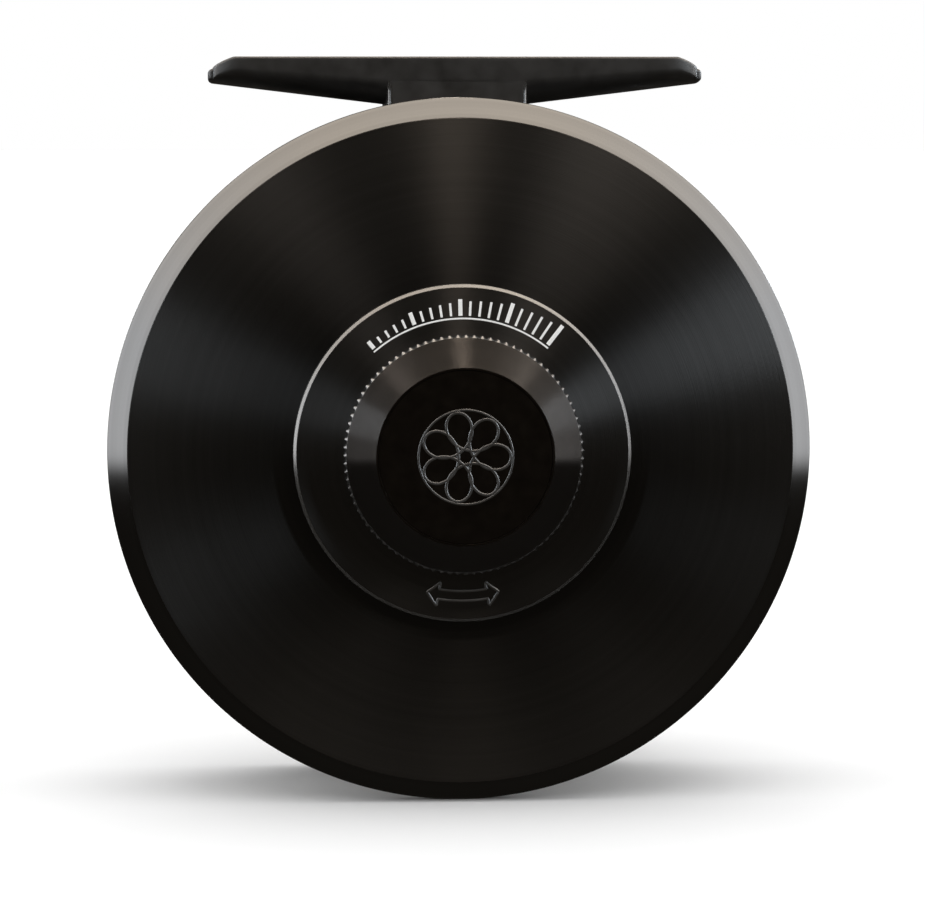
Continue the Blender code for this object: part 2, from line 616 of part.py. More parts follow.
def make_handle():
    """Handle post, turned grip, its screw, and the counterweight across the spool."""
    x, z = polar(HANDLE_PCR, HANDLE_ANGLE)
    place = (x, 0.0, AXIS_Z + z)
    post = turned("handle_post", "stainless", [
        (0.0, 9.4), (1.5, 9.4), (1.5, 13.1), (3.6, 13.1), (3.6, 14.3), (2.0, 14.3),
        (2.0, 32.9), (0.0, 32.9)], 16, place)
    bore = bmesh.new()
    along_y(bore, 0, 0, 26.0, 34.0, 1.0 + GAP, TINY)
    combine(post, bore, "DIFFERENCE", "post_bore_tool", place)
    cap_screw("handle_screw", 3.3, 1.3, 1.0, 7.0, 1.3, (x, 34.5, AXIS_Z + z), (0, -1, 0))

    y0, y1 = HANDLE_Y0, HANDLE_Y1
    turned("handle_knob", "handle_composite", [
        (2.3, y0), (4.3, y0), (4.8, y0 + 0.5), (4.7, y0 + 3.0), (4.5, y0 + 7.0),
        (4.9, y0 + 11.0), (5.8, y0 + 15.0), (6.4, y0 + 18.0), (6.4, y1 - 2.2),
        (5.9, y1 - 0.8), (4.9, y1), (3.6, y1), (3.6, 32.9), (2.3, 32.9)], SMALL, place)

    far = (-x, 0.0, AXIS_Z - z)
    turned("counterweight", "stainless", [
        (1.4, 10.9), (4.8, 10.9), (4.8, 13.0), (4.4, 13.4), (2.5, 13.4), (2.5, 12.2),
        (1.4, 12.2)], SMALL, far)
    cap_screw("counterweight_screw", 2.2, 0.8, 1.1, 3.6, 0.9, (-x, 13.3, AXIS_Z - z),
              (0, -1, 0))


def main():
    for obj in list(bpy.data.objects):
        bpy.data.objects.remove(obj)
    make_frame()
    make_foot()
    make_spindle()
    make_cover()
    make_knob()
    make_drag_nut()
    make_drag_stack()
    make_drive()
    make_click()
    make_detent()
    make_spool()
    make_bearings()
    make_spool_cap()
    make_handle()


main()
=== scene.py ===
"""Fly reel: fine surfaces, finishes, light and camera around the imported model.

The reel is turned and milled from black anodised bar, so nearly every piece here is a
profile carried round an axis. Profiles are lists of (radius, y) corners in millimetres,
measured from the CAD nodes' own boxes, and their corners are rounded by a formula.
"""

import math

import bmesh
import bpy
import numpy as np
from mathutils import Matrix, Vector


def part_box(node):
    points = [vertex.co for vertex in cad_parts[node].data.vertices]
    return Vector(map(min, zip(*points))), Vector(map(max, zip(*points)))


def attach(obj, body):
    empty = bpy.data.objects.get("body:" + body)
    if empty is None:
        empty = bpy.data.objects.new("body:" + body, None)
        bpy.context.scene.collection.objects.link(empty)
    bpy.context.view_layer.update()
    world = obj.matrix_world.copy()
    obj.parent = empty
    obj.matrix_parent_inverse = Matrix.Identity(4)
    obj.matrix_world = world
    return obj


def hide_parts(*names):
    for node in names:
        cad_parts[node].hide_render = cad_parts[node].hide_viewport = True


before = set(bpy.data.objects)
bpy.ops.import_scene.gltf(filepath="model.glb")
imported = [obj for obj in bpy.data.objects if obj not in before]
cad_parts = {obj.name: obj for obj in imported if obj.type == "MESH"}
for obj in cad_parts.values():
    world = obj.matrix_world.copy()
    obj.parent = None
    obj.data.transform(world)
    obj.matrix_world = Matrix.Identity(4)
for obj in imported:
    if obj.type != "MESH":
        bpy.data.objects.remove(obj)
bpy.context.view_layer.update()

bl_info = {
    "name": "Fly Reel Builder",
    "version": (1, 0, 0),
    "blender": (4, 5, 0),
    "location": "View3D > Sidebar > Reel",
    "description": "Builds the fine surfaces and finishes of a disc drag fly reel",
    "category": "Add Mesh",
}

MM = 0.001


def span(node, axis):
    """Lowest and highest value of a CAD node's box along one axis, in millimetres."""
    low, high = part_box(node)
    return low[axis] / MM, high[axis] / MM


# The reel's own lines, read from the frame ----------------------------------------
PLATE_Y, FRAME_Y1 = span("frame_cage", 1)
RIM_R = (span("frame_cage", 0)[1] - span("frame_cage", 0)[0]) / 2.0
AXIS_Z = span("frame_cage", 2)[0] + RIM_R
COVER_R = (span("cover_plate", 0)[1] - span("cover_plate", 0)[0]) / 2.0
KNOB_R = (span("knob_shell", 0)[1] - span("knob_shell", 0)[0]) / 2.0
KNOB_Y0, KNOB_Y1 = span("knob_shell", 1)
AXIS = (0.0, AXIS_Z)

TAU = 2.0 * math.pi
SHARP_ANGLE = math.radians(40.0)
# Millimetres along a profile for each unit of u.
UV_LENGTH = 10.0


# Shapes -------------------------------------------------------------------------
def rounded(corners, radii, closed=True, steps=5):
    """Outline with each corner replaced by a short curve.

    A corner P with neighbours is left at A = P + r u, and rejoined at B = P + r v, where u
    and v are the unit directions to its neighbours and r its radius, held to 0.45 of either
    side. Between them runs the curve (1-s)^2 A + 2 s (1-s) P + s^2 B for s from 0 to 1, with
    one more point just outside each end to keep the flats flat in shading.
    """
    p = np.asarray(corners, float)
    r = np.broadcast_to(np.asarray(radii, float), (len(p),)).astype(float)
    before, after = np.roll(p, 1, axis=0), np.roll(p, -1, axis=0)
    len_in = np.linalg.norm(before - p, axis=1)
    len_out = np.linalg.norm(after - p, axis=1)
    r = np.minimum(r, 0.45 * np.minimum(len_in, len_out))
    u = (before - p) / len_in[:, None]
    v = (after - p) / len_out[:, None]
    s = np.linspace(0.0, 1.0, steps)[None, :, None]
    start, end = p + u * r[:, None], p + v * r[:, None]
    curve = ((1 - s) ** 2 * start[:, None] + 2 * s * (1 - s) * p[:, None]
             + s ** 2 * end[:, None])
    lead = np.minimum(0.25 * r, 0.04)[:, None]
    guard_in = (start + u * lead)[:, None]
    guard_out = (end + v * lead)[:, None]
    out = np.concatenate([guard_in, curve, guard_out], axis=1)
    if closed:
        return out.reshape(-1, 2)
    middle = out[1:-1].reshape(-1, 2)
    return np.concatenate([p[:1], middle, p[-1:]])


def grid_faces(rows, cols, wrap_rows, wrap_cols):
    """Quad indices of a grid whose rows or columns may close on themselves."""
    i = np.arange(rows if wrap_rows else rows - 1)
    j = np.arange(cols if wrap_cols else cols - 1)
    i, j = np.meshgrid(i, j, indexing="ij")
    i2, j2 = (i + 1) % rows, (j + 1) % cols
    quads = np.stack([i * cols + j, i * cols + j2, i2 * cols + j2, i2 * cols + j], axis=-1)
    return quads.reshape(-1, 4)


def face_uv(rows, cols, wrap_rows, wrap_cols, u, v):
    """UV corners in step with grid_faces: u runs down the rows and v along the columns."""
    i = np.arange(rows if wrap_rows else rows - 1)
    j = np.arange(cols if wrap_cols else cols - 1)
    i, j = np.meshgrid(i, j, indexing="ij")
    uu = np.stack([u[i], u[i], u[i + 1], u[i + 1]], axis=-1)
    vv = np.stack([v[j], v[j + 1], v[j + 1], v[j]], axis=-1)
    return np.stack([uu, vv], axis=-1).reshape(-1, 4, 2)


def new_piece(name, points, faces, uv):
    """Object at the origin from points in millimetres, groups of faces, and UV corners.

    Seams between shells are merged and every face is turned outwards.
    """
    mesh = bpy.data.meshes.new(name)
    listed = [face for group in faces for face in group.tolist()]
    mesh.from_pydata((points * MM).tolist(), [], listed)
    layer = mesh.uv_layers.new(name="surface")
    layer.data.foreach_set("uv", np.asarray(uv, np.float32).ravel())
    solid = bmesh.new()
    solid.from_mesh(mesh)
    bmesh.ops.remove_doubles(solid, verts=solid.verts, dist=1e-6)
    bmesh.ops.recalc_face_normals(solid, faces=solid.faces)
    solid.to_mesh(mesh)
    solid.free()
    mesh.shade_smooth()
    mesh.set_sharp_from_angle(angle=SHARP_ANGLE)
    obj = bpy.data.objects.new(name, mesh)
    bpy.context.scene.collection.objects.link(obj)
    return obj


def end_fans(first_ring, last_ring, count, u_ends, v):
    """Triangles that close the two ends of a skin on its last two points, with their UV."""
    faces, uvs = [], []
    mid = (v[:-1] + v[1:]) / 2.0
    for ring, pole, (u_pole, u_ring) in ((first_ring, count, u_ends[0]),
                                         (last_ring, count + 1, u_ends[1])):
        faces.append(np.stack([np.full(len(ring), pole), np.roll(ring, -1), ring], axis=-1))
        uvs.append(np.stack([np.stack([np.full(len(ring), u_pole), mid], -1),
                             np.stack([np.full(len(ring), u_ring), v[1:]], -1),
                             np.stack([np.full(len(ring), u_ring), v[:-1]], -1)], axis=1))
    return np.concatenate(faces), np.concatenate(uvs).reshape(-1, 2)


def lathe_arrays(profile, segments, centre=AXIS, closed=True, shape=None):
    """Points, faces and UV of a profile turned round a line along Y.

    Point = (cx + r cos a, y, cz + r sin a), where (r, y) runs down the profile and a round
    the circle; shape(r, y, a) may change r point by point. An open profile is closed by a
    pole at each end.
    """
    profile = np.asarray(profile, float)
    if not closed:
        ends = profile[[0, -1]] * np.array([0.0, 1.0])
        inner = profile[profile[:, 0] > 1e-6]
        profile = np.concatenate([ends[:1], inner, ends[1:]])
    a = np.arange(segments) * TAU / segments
    v = np.arange(segments + 1) / segments
    steps = np.linalg.norm(np.diff(profile, axis=0, append=profile[:1]), axis=1)
    u = np.concatenate([[0.0], np.cumsum(steps)]) / UV_LENGTH
    body = profile if closed else profile[1:-1]
    r = body[:, :1] * np.ones_like(a)
    y = body[:, 1:] * np.ones_like(a)
    if shape is not None:
        r = shape(r, y, a)
    points = np.stack([centre[0] + r * np.cos(a), y, centre[1] + r * np.sin(a)], axis=-1)
    points = points.reshape(-1, 3)
    rows = len(body)
    faces = grid_faces(rows, segments, closed, True)
    if closed:
        return points, [faces], face_uv(rows, segments, closed, True, u, v).reshape(-1, 2)
    uv = face_uv(rows, segments, False, True, u[1:], v).reshape(-1, 2)
    first = np.arange(segments)
    fans, fan_uv = end_fans(first, first + (rows - 1) * segments, len(points),
                            ((u[0], u[1]), (u[rows + 1], u[rows])), v)
    poles = np.array([[centre[0], profile[0, 1], centre[1]],
                      [centre[0], profile[-1, 1], centre[1]]])
    return np.concatenate([points, poles]), [faces, fans], np.concatenate([uv, fan_uv])


def lathe(name, corners, radii, segments, centre=AXIS, closed=True, shape=None, steps=5):
    """A turned piece: rounded corners carried round a line along Y."""
    profile = rounded(corners, radii, closed, steps)
    return new_piece(name, *lathe_arrays(profile, segments, centre, closed, shape))


def joined(name, shells):
    """One object from several (points, face groups, uv) shells, indices shifted in turn."""
    starts = np.cumsum([0] + [len(shell[0]) for shell in shells])
    faces = [group + start for shell, start in zip(shells, starts) for group in shell[1]]
    return new_piece(name, np.concatenate([shell[0] for shell in shells]), faces,
                     np.concatenate([shell[2] for shell in shells]))


def loft_arrays(sections):
    """Points, faces and UV of a skin over a stack of closed loops, capped by end poles.

    sections[i, k] is point k of loop i. u runs along the stack and v round the loop, both as
    shares of the whole. Each end closes in a pole at its loop's mean point.
    """
    sections = np.asarray(sections, float)
    rows, cols = sections.shape[:2]
    u, v = np.linspace(0, 1, rows + 1), np.linspace(0, 1, cols + 1)
    faces = grid_faces(rows, cols, False, True)
    uv = face_uv(rows, cols, False, True, u, v).reshape(-1, 2)
    poles = np.stack([sections[0].mean(axis=0), sections[-1].mean(axis=0)])
    first = np.arange(cols)
    fans, fan_uv = end_fans(first, first + (rows - 1) * cols, rows * cols,
                            ((0.0, 0.02), (1.0, 0.98)), v)
    return (np.concatenate([sections.reshape(-1, 3), poles]), [faces, fans],
            np.concatenate([uv, fan_uv]))


def tube_arrays(path, radius, closed=True, flat=1.0, sides=8):
    """Points, faces and UV of a bead that follows a path lying across Y.

    Ring point = path + radius (cos b side + flat sin b Y), where side is the path's
    direction crossed with Y and b goes once round.
    """
    n = np.array([0.0, 1.0, 0.0])
    if closed:
        ahead = np.roll(path, -1, axis=0) - np.roll(path, 1, axis=0)
    else:
        ahead = np.gradient(path, axis=0)
    side = np.cross(ahead, n)
    side /= np.linalg.norm(side, axis=1)[:, None]
    b = np.arange(sides) * TAU / sides
    rings = (path[:, None] + radius * (np.cos(b)[None, :, None] * side[:, None]
             + flat * np.sin(b)[None, :, None] * n[None, None]))
    if not closed:
        return loft_arrays(rings)
    rows = len(path)
    u, v = np.linspace(0, 1, rows + 1), np.linspace(0, 1, sides + 1)
    faces = grid_faces(rows, sides, True, True)
    uv = face_uv(rows, sides, True, True, u, v).reshape(-1, 2)
    return rings.reshape(-1, 3), [faces], uv


def polar_point(radius, degrees, y):
    """Point on the reel's side at a radius and an angle, at a height along the axis."""
    a = np.radians(degrees)
    return np.stack([radius * np.cos(a), y + 0.0 * a, AXIS_Z + radius * np.sin(a)], axis=-1)


def ported_disc(name, r0, r1, y0, y1, ports, first_angle, port_r, port_at, blanks=(),
                edge=0.35):
    """A flat ring with a circle of round ports, their mouths softened.

    The ring is cut into equal sectors. In a ported sector each ray leaves the port's wall and
    ends on the sector's border: point(s, t) = wall(s) + t (border(s) - wall(s)), t eased
    outwards. A blank sector is a plain polar grid with the same border points. The port's
    mouth is a quarter circle of the edge radius on both faces.
    """
    arc, side, rays, lip_steps = 14, 10, 9, 5
    half = math.pi / ports
    lin_a = np.linspace(-half, half, arc + 1)
    lin_r = np.linspace(r0, r1, side + 1)
    border = np.concatenate([
        np.stack([np.full(arc, r0), lin_a[:-1]], -1),
        np.stack([lin_r[:-1], np.full(side, half)], -1),
        np.stack([np.full(arc, r1), lin_a[::-1][:-1]], -1),
        np.stack([lin_r[::-1][:-1], np.full(side, -half)], -1)])
    around = len(border)
    flat_border = np.stack([border[:, 0] * np.cos(border[:, 1]),
                            border[:, 0] * np.sin(border[:, 1])], -1)
    centre = np.array([port_at, 0.0])
    out = flat_border - centre
    out /= np.linalg.norm(out, axis=1)[:, None]
    bend = np.linspace(0.0, math.pi / 2.0, lip_steps)
    lip_r = port_r + edge * (1.0 - np.cos(bend))
    lip_h = edge * (1.0 - np.sin(bend))
    t = np.linspace(0.0, 1.0, rays + 1)[1:] ** 1.4
    # One loop just past the lip keeps the flat face flat in shading.
    guard = 0.05
    near = centre + out * (port_r + edge + guard)

    def face_rows(y_face, inward):
        """Loops from the middle of the wall, over the mouth's lip, out to the border."""
        lip = centre + out[None] * lip_r[:, None, None]
        lip_y = y_face + inward * lip_h
        field = near[None] + t[:, None, None] * (flat_border - near)[None]
        loops = np.concatenate([lip, near[None], field])
        return loops, np.concatenate([lip_y, np.full(1 + len(field), y_face)])

    low, low_y = face_rows(y0, 1.0)
    high, high_y = face_rows(y1, -1.0)
    loops = np.concatenate([low[::-1], high])
    heights = np.concatenate([low_y[::-1], high_y])
    rows = len(loops)
    shells = []
    for k in range(ports):
        a = math.radians(first_angle) + k * TAU / ports
        if k in blanks:
            rr, aa = np.meshgrid(lin_r, lin_a + a, indexing="ij")
            for y_face in (y0, y1):
                pts = np.stack([rr * np.cos(aa), np.full_like(rr, y_face),
                                AXIS_Z + rr * np.sin(aa)], -1)
                u, v = lin_r / UV_LENGTH, (lin_a + a) / TAU
                shells.append((pts.reshape(-1, 3),
                               [grid_faces(side + 1, arc + 1, False, False)],
                               face_uv(side + 1, arc + 1, False, False, u, v).reshape(-1, 2)))
            continue
        turn = np.array([[math.cos(a), math.sin(a)], [-math.sin(a), math.cos(a)]])
        flat = loops @ turn
        pts = np.stack([flat[..., 0], np.broadcast_to(heights[:, None], flat.shape[:2]),
                        AXIS_Z + flat[..., 1]], -1)
        faces = grid_faces(rows, around, False, True)
        radius = np.linalg.norm(flat, axis=-1)
        angle = np.arctan2(loops[..., 1], loops[..., 0]) + a
        corner = np.stack([radius / UV_LENGTH, angle / TAU], -1).reshape(-1, 2)
        shells.append((pts.reshape(-1, 3), [faces], corner[faces.ravel()]))
    for radius in (r0, r1):
        a = (np.arange(ports * arc) / (ports * arc)) * TAU + math.radians(first_angle) - half
        rim = np.stack([np.stack([radius * np.cos(a), np.full_like(a, y),
                                  AXIS_Z + radius * np.sin(a)], -1) for y in (y0, y1)])
        u, v = np.array([0.0, 0.1, 0.2]), np.linspace(0, 1, len(a) + 1)
        shells.append((rim.reshape(-1, 3), [grid_faces(2, len(a), False, True)],
                       face_uv(2, len(a), False, True, u, v).reshape(-1, 2)))
    return joined(name, shells)


# Node groups --------------------------------------------------------------------
def wire(tree, source, target):
    """Link two sockets of a node tree."""
    tree.links.new(source, target)


def add_node(tree, kind, **values):
    """A new shader node with some of its inputs set; a key's underscores stand for spaces."""
    node = tree.nodes.new("ShaderNode" + kind)
    for label, value in values.items():
        node.inputs[label.replace("_", " ")].default_value = value
    return node


def map_range(tree, value, from_min, from_max, to_min, to_max):
    """A Map Range node from one span of a value to another."""
    node = add_node(tree, "MapRange", From_Min=from_min, From_Max=from_max, To_Min=to_min,
                    To_Max=to_max)
    wire(tree, value, node.inputs["Value"])
    return node


def parts_of(tree, kind):
    """The X, Y and Z outputs of a texture coordinate."""
    coords, split = add_node(tree, "TexCoord"), add_node(tree, "SeparateXYZ")
    wire(tree, coords.outputs[kind], split.inputs[0])
    return split.outputs


def noise(tree, source, dimensions="3D", socket="Vector", **values):
    """A noise of a vector, or of one value; returns the node."""
    node = add_node(tree, "TexNoise", **values)
    node.noise_dimensions = dimensions
    wire(tree, source, node.inputs[socket])
    return node


def maths(tree, operation, a, b=None):
    """A Math node on values or sockets; returns its output socket."""
    node = add_node(tree, "Math")
    node.operation = operation
    for i, value in enumerate((a, b)):
        if value is None:
            continue
        if isinstance(value, (int, float)):
            node.inputs[i].default_value = value
        else:
            wire(tree, value, node.inputs[i])
    return node.outputs[0]


def new_group(name, inputs, outputs):
    """Empty shader group with float inputs (name, default) and outputs (name, type)."""
    group = bpy.data.node_groups.new(name, "ShaderNodeTree")
    for label, default in inputs:
        socket = group.interface.new_socket(label, in_out="INPUT",
                                            socket_type="NodeSocketFloat")
        socket.default_value = default
    for label, kind in outputs:
        group.interface.new_socket(label, in_out="OUTPUT", socket_type="NodeSocket" + kind)
    return group, group.nodes.new("NodeGroupInput"), group.nodes.new("NodeGroupOutput")


def turning_marks():
    """Rings left by the lathe: noise that changes only along u, the turned profile.

    Height = fine noise of u + broad noise of u - Scroll u, where Scroll is the lean of the
    groove's long flank; Shade = the broad noise.
    """
    group, given, out = new_group("turning_marks", [("Fineness", 60.0), ("Drift", 0.35),
                                                    ("Scroll", 0.0)],
                                  [("Height", "Float"), ("Shade", "Float")])
    across = parts_of(group, "UV")["X"]
    drift = noise(group, add_node(group, "TexCoord").outputs["Object"], Scale=1.5, Detail=1.0)
    along = maths(group, "MULTIPLY", across, given.outputs["Fineness"])
    shift = maths(group, "MULTIPLY", drift.outputs["Fac"], given.outputs["Drift"])
    place = maths(group, "ADD", along, shift)
    values = [noise(group, maths(group, "MULTIPLY", place, rate), "1D", "W", Scale=1.0,
                    Detail=detail, Roughness=0.6).outputs["Fac"]
              for rate, detail in ((1.0, 3.0), (0.14, 2.0))]
    broad = maths(group, "MULTIPLY", values[1], 0.6)
    lean = maths(group, "MULTIPLY", across, given.outputs["Scroll"])
    rough = maths(group, "ADD", values[0], broad)
    wire(group, maths(group, "SUBTRACT", rough, lean), out.inputs["Height"])
    wire(group, values[1], out.inputs["Shade"])
    return group


def handling():
    """Faint clouding from Object coordinates: Cloud = broad noise."""
    group, given, out = new_group("handling", [("Scale", 90.0)], [("Cloud", "Float")])
    cloud = noise(group, add_node(group, "TexCoord").outputs["Object"], Detail=4.0,
                  Roughness=0.55)
    wire(group, given.outputs["Scale"], cloud.inputs["Scale"])
    wire(group, cloud.outputs["Fac"], out.inputs["Cloud"])
    return group


def weave():
    """Twill from Object coordinates: threads along x and z pass over and under in turn.

    Over = fract(x + z) > 1/2; Height = |sin(TAU z)| where Over holds, else |sin(TAU x)|.
    """
    group, given, out = new_group("twill", [("Threads", 40.0)],
                                  [("Height", "Float"), ("Over", "Float")])
    split = parts_of(group, "Object")
    x, z = (maths(group, "MULTIPLY", split[axis], given.outputs["Threads"]) for axis in "XZ")
    over = maths(group, "GREATER_THAN", maths(group, "FRACT", maths(group, "ADD", x, z)), 0.5)
    warp, weft = (maths(group, "ABSOLUTE", maths(group, "SINE", maths(
        group, "MULTIPLY", place, TAU))) for place in (x, z))
    mix = add_node(group, "Mix")
    for i, source in ((0, over), (2, warp), (3, weft)):
        wire(group, source, mix.inputs[i])
    wire(group, mix.outputs[0], out.inputs["Height"])
    wire(group, over, out.inputs["Over"])
    return group


GROUPS = {}


def group_node(tree, maker, **values):
    """Place a shared group, made once, with its own input values."""
    name = maker.__name__
    if name not in GROUPS:
        GROUPS[name] = maker()
    node = add_node(tree, "Group")
    node.node_tree = GROUPS[name]
    for label, value in values.items():
        node.inputs[label].default_value = value
    return node


def blend_colours(tree, mask, low, high):
    """A colour that runs from low to high with a mask."""
    mix = add_node(tree, "Mix")
    mix.data_type = "RGBA"
    wire(tree, mask, mix.inputs[0])
    mix.inputs[6].default_value = (*low, 1.0)
    mix.inputs[7].default_value = (*high, 1.0)
    return mix.outputs[2]


def blend_values(tree, mask, low, high):
    """A value that runs from low to high with a mask."""
    return map_range(tree, mask, 0.3, 0.7, low, high).outputs[0]


def start_material(name, metallic=0.0):
    """A new material with its Principled shader; returns material, tree and shader."""
    mat = bpy.data.materials.new(name)
    mat.use_nodes = True
    tree = mat.node_tree
    shader = tree.nodes["Principled BSDF"]
    shader.inputs["Metallic"].default_value = metallic
    return mat, tree, shader


def shade_of(colour, factor):
    """A colour made lighter or darker."""
    return tuple(c * factor for c in colour)


def bump(tree, shader, height, distance, strength):
    """Feed a height in metres into the shader's normal."""
    node = add_node(tree, "Bump", Strength=strength, Distance=distance)
    wire(tree, height, node.inputs["Height"])
    wire(tree, node.outputs["Normal"], shader.inputs["Normal"])


# How far the tool's rings lighten and darken a turned face, and the share of its colour that a
# face with painted shade has at its darkest and at its full end.
CONTRAST = 0.11
PAINTED_SHADE_LOW, PAINTED_SHADE_FULL = 0.55, 1.1
RELIEF_COLOUR = (0.24, 0.235, 0.23)
ACETAL_COLOURS = (0.03, 0.03, 0.032), (0.05, 0.05, 0.052)


def turned_metal(name, colour, rough, grain=0.0, fineness=60.0, depth=0.00002, metallic=1.0,
                 scroll=0.0, painted_shade_span=None):
    """Lathe-turned metal: reflections stretch along the profile, across the tool's rings.

    scroll leans every groove the same way, so a flat face gleams only on its upper side.
    painted_shade_span gives the values of u where painted shade darkens the colour most and
    where
    it is full: the face is darker toward the middle and lighter toward the rim, standing in for
    its reflections growing brighter outwards.
    """
    mat, tree, shader = start_material(name, metallic)
    marks = group_node(tree, turning_marks, Fineness=fineness, Scroll=scroll)
    cloud = group_node(tree, handling).outputs["Cloud"]
    shade = blend_colours(tree, marks.outputs["Shade"], shade_of(colour, 1.0 - CONTRAST),
                          shade_of(colour, 1.0 + CONTRAST))
    # Painted shade: the colour is scaled from dark near the middle of the face up to full near
    # the rim.
    if painted_shade_span:
        ramp = map_range(tree, parts_of(tree, "UV")["X"], *painted_shade_span, PAINTED_SHADE_LOW, PAINTED_SHADE_FULL)
        shaded_colour = add_node(tree, "VectorMath")
        shaded_colour.operation = "SCALE"
        wire(tree, shade, shaded_colour.inputs[0])
        wire(tree, ramp.outputs[0], shaded_colour.inputs["Scale"])
        shade = shaded_colour.outputs[0]
    wire(tree, shade, shader.inputs["Base Color"])
    wire(tree, blend_values(tree, cloud, rough * 0.93, rough * 1.07),
         shader.inputs["Roughness"])
    if grain:
        shader.inputs["Anisotropic"].default_value = grain
        tangent = add_node(tree, "Tangent")
        tangent.direction_type = "UV_MAP"
        tangent.uv_map = "surface"
        wire(tree, tangent.outputs[0], shader.inputs["Tangent"])
    bump(tree, shader, marks.outputs["Height"], depth, 0.5)
    return mat


def clouded(name, low, high, rough, scale, depth=0.00001, strength=0.4, metallic=0.0,
            spread=0.0):
    """A plain material whose colour, roughness and slight relief follow one faint clouding."""
    mat, tree, shader = start_material(name, metallic)
    cloud = group_node(tree, handling, Scale=scale).outputs["Cloud"]
    wire(tree, blend_colours(tree, cloud, low, high), shader.inputs["Base Color"])
    shader.inputs["Roughness"].default_value = rough
    if spread:
        wire(tree, blend_values(tree, cloud, rough * (1.0 - spread), rough * (1.0 + spread)),
             shader.inputs["Roughness"])
    bump(tree, shader, cloud, depth, strength)
    return mat


def milled_metal(name, colour, rough, scale=300.0):
    """Milled and bead-smoothed metal: a fine even grain with faint clouding."""
    return clouded(name, shade_of(colour, 0.85), shade_of(colour, 1.2), rough, scale,
                   metallic=1.0, spread=0.15)


# Settings -----------------------------------------------------------------------
def colour_prop(name, description, default):
    """A colour that a user can change."""
    return bpy.props.FloatVectorProperty(
        name=name, description=description, default=default, size=3, min=0.0, max=1.0,
        subtype="COLOR")


class ReelFinish(bpy.types.PropertyGroup):
    """Colours and surface qualities of the reel's materials."""

    black: colour_prop("Black anodise", "Reflection colour of the turned black aluminium",
                       (0.09, 0.086, 0.082))
    # Painted shade: a darker copy of the black anodise that dims the reflections on the knob's
    # sloped ring.
    cone: colour_prop("Knob slope", "Reflection colour of the knob's sloped ring",
                      (0.042, 0.038, 0.035))
    black_milled: colour_prop("Milled black", "Reflection colour of the milled black aluminium",
                              (0.12, 0.116, 0.112))
    insert: colour_prop("Knob insert", "Reflection colour of the flat centre of the knob",
                        (0.036, 0.029, 0.023))
    steel: colour_prop("Stainless steel", "Colour of pins, screws and bearings",
                       (0.58, 0.57, 0.55))
    bronze: colour_prop("Bronze", "Colour of the nut, spacer and drive ring",
                        (0.55, 0.36, 0.17))
    grip: colour_prop("Grip laminate", "Main colour of the handle grip", (0.035, 0.016, 0.009))
    carbon: colour_prop("Carbon", "Colour of the friction discs", (0.025, 0.025, 0.027))
    rubber: colour_prop("Seal rubber", "Colour of the hub seal", (0.012, 0.012, 0.012))
    scale_white: colour_prop("Scale white", "Colour of the filled scale marks",
                             (0.86, 0.86, 0.84))
    edge: colour_prop("Rim edge", "Reflection colour of the rim's polished chamfer",
                      (0.086, 0.085, 0.084))
    # Painted highlight: a lighter copy of the black anodise, so that the cover's chamfer, the
    # knob's grip band and the stem's corners show bright lines of reflected light.
    painted_highlight_edge: colour_prop("Painted highlight edges", "Reflection colour of the cover's chamfer, the "
                             "knob's grip band and the corners of the foot's stem",
                             (0.19, 0.185, 0.18))
    edge_rough: bpy.props.FloatProperty(
        name="Edge roughness", description="Roughness of the polished chamfers", default=0.13,
        min=0.02, max=1.0, subtype="FACTOR")
    scroll: bpy.props.FloatProperty(
        name="Scroll", description="Lean of the turning grooves on the flat faces",
        default=140.0, min=0.0, max=400.0)
    face_rough: bpy.props.FloatProperty(
        name="Face roughness", description="Roughness of the turned faces", default=0.34,
        min=0.05, max=1.0, subtype="FACTOR")
    face_grain: bpy.props.FloatProperty(
        name="Turning grain", description="How far reflections stretch across the tool's rings",
        default=0.95, min=0.0, max=1.0, subtype="FACTOR")


class ReelDetail(bpy.types.PropertyGroup):
    """Sizes of the fine details, in millimetres."""

    knob_teeth: bpy.props.IntProperty(
        name="Knob teeth", description="Number of teeth round the knob's grip band",
        default=91, min=12, max=160)
    tooth_depth: bpy.props.FloatProperty(
        name="Tooth depth", description="Depth of the knob's grip teeth", default=0.28,
        min=0.05, max=0.6)
    scale_marks: bpy.props.IntProperty(
        name="Scale marks", description="Number of marks on the cover plate's scale",
        default=21, min=3, max=60)
    bead: bpy.props.FloatProperty(
        name="Relief line", description="Half width of the raised ornament lines",
        default=0.19, min=0.03, max=0.4)


class ReelStage(bpy.types.PropertyGroup):
    """Camera, floor and lights."""

    azimuth: bpy.props.FloatProperty(
        name="Azimuth", description="Camera's angle round the reel", default=math.radians(-4.0),
        subtype="ANGLE")
    elevation: bpy.props.FloatProperty(
        name="Elevation", description="Camera's angle above the reel",
        default=math.radians(5.0), subtype="ANGLE")
    distance: bpy.props.FloatProperty(
        name="Distance", description="From camera to the rim, in millimetres", default=520.0)
    lens: bpy.props.FloatProperty(
        name="Lens", description="Focal length in millimetres", default=158.4)
    arch: bpy.props.FloatProperty(
        name="Light arch", description="Brightness of the arch reflected in the upper chamfers",
        default=4.0, min=0.0)
    surround: bpy.props.FloatProperty(
        name="Surround", description="Brightness of the dim studio behind the camera",
        default=0.048, min=0.0)


def settings():
    """The scene's three groups of settings."""
    scene = bpy.context.scene
    return scene.reel_finish, scene.reel_detail, scene.reel_stage


MATERIALS = {}


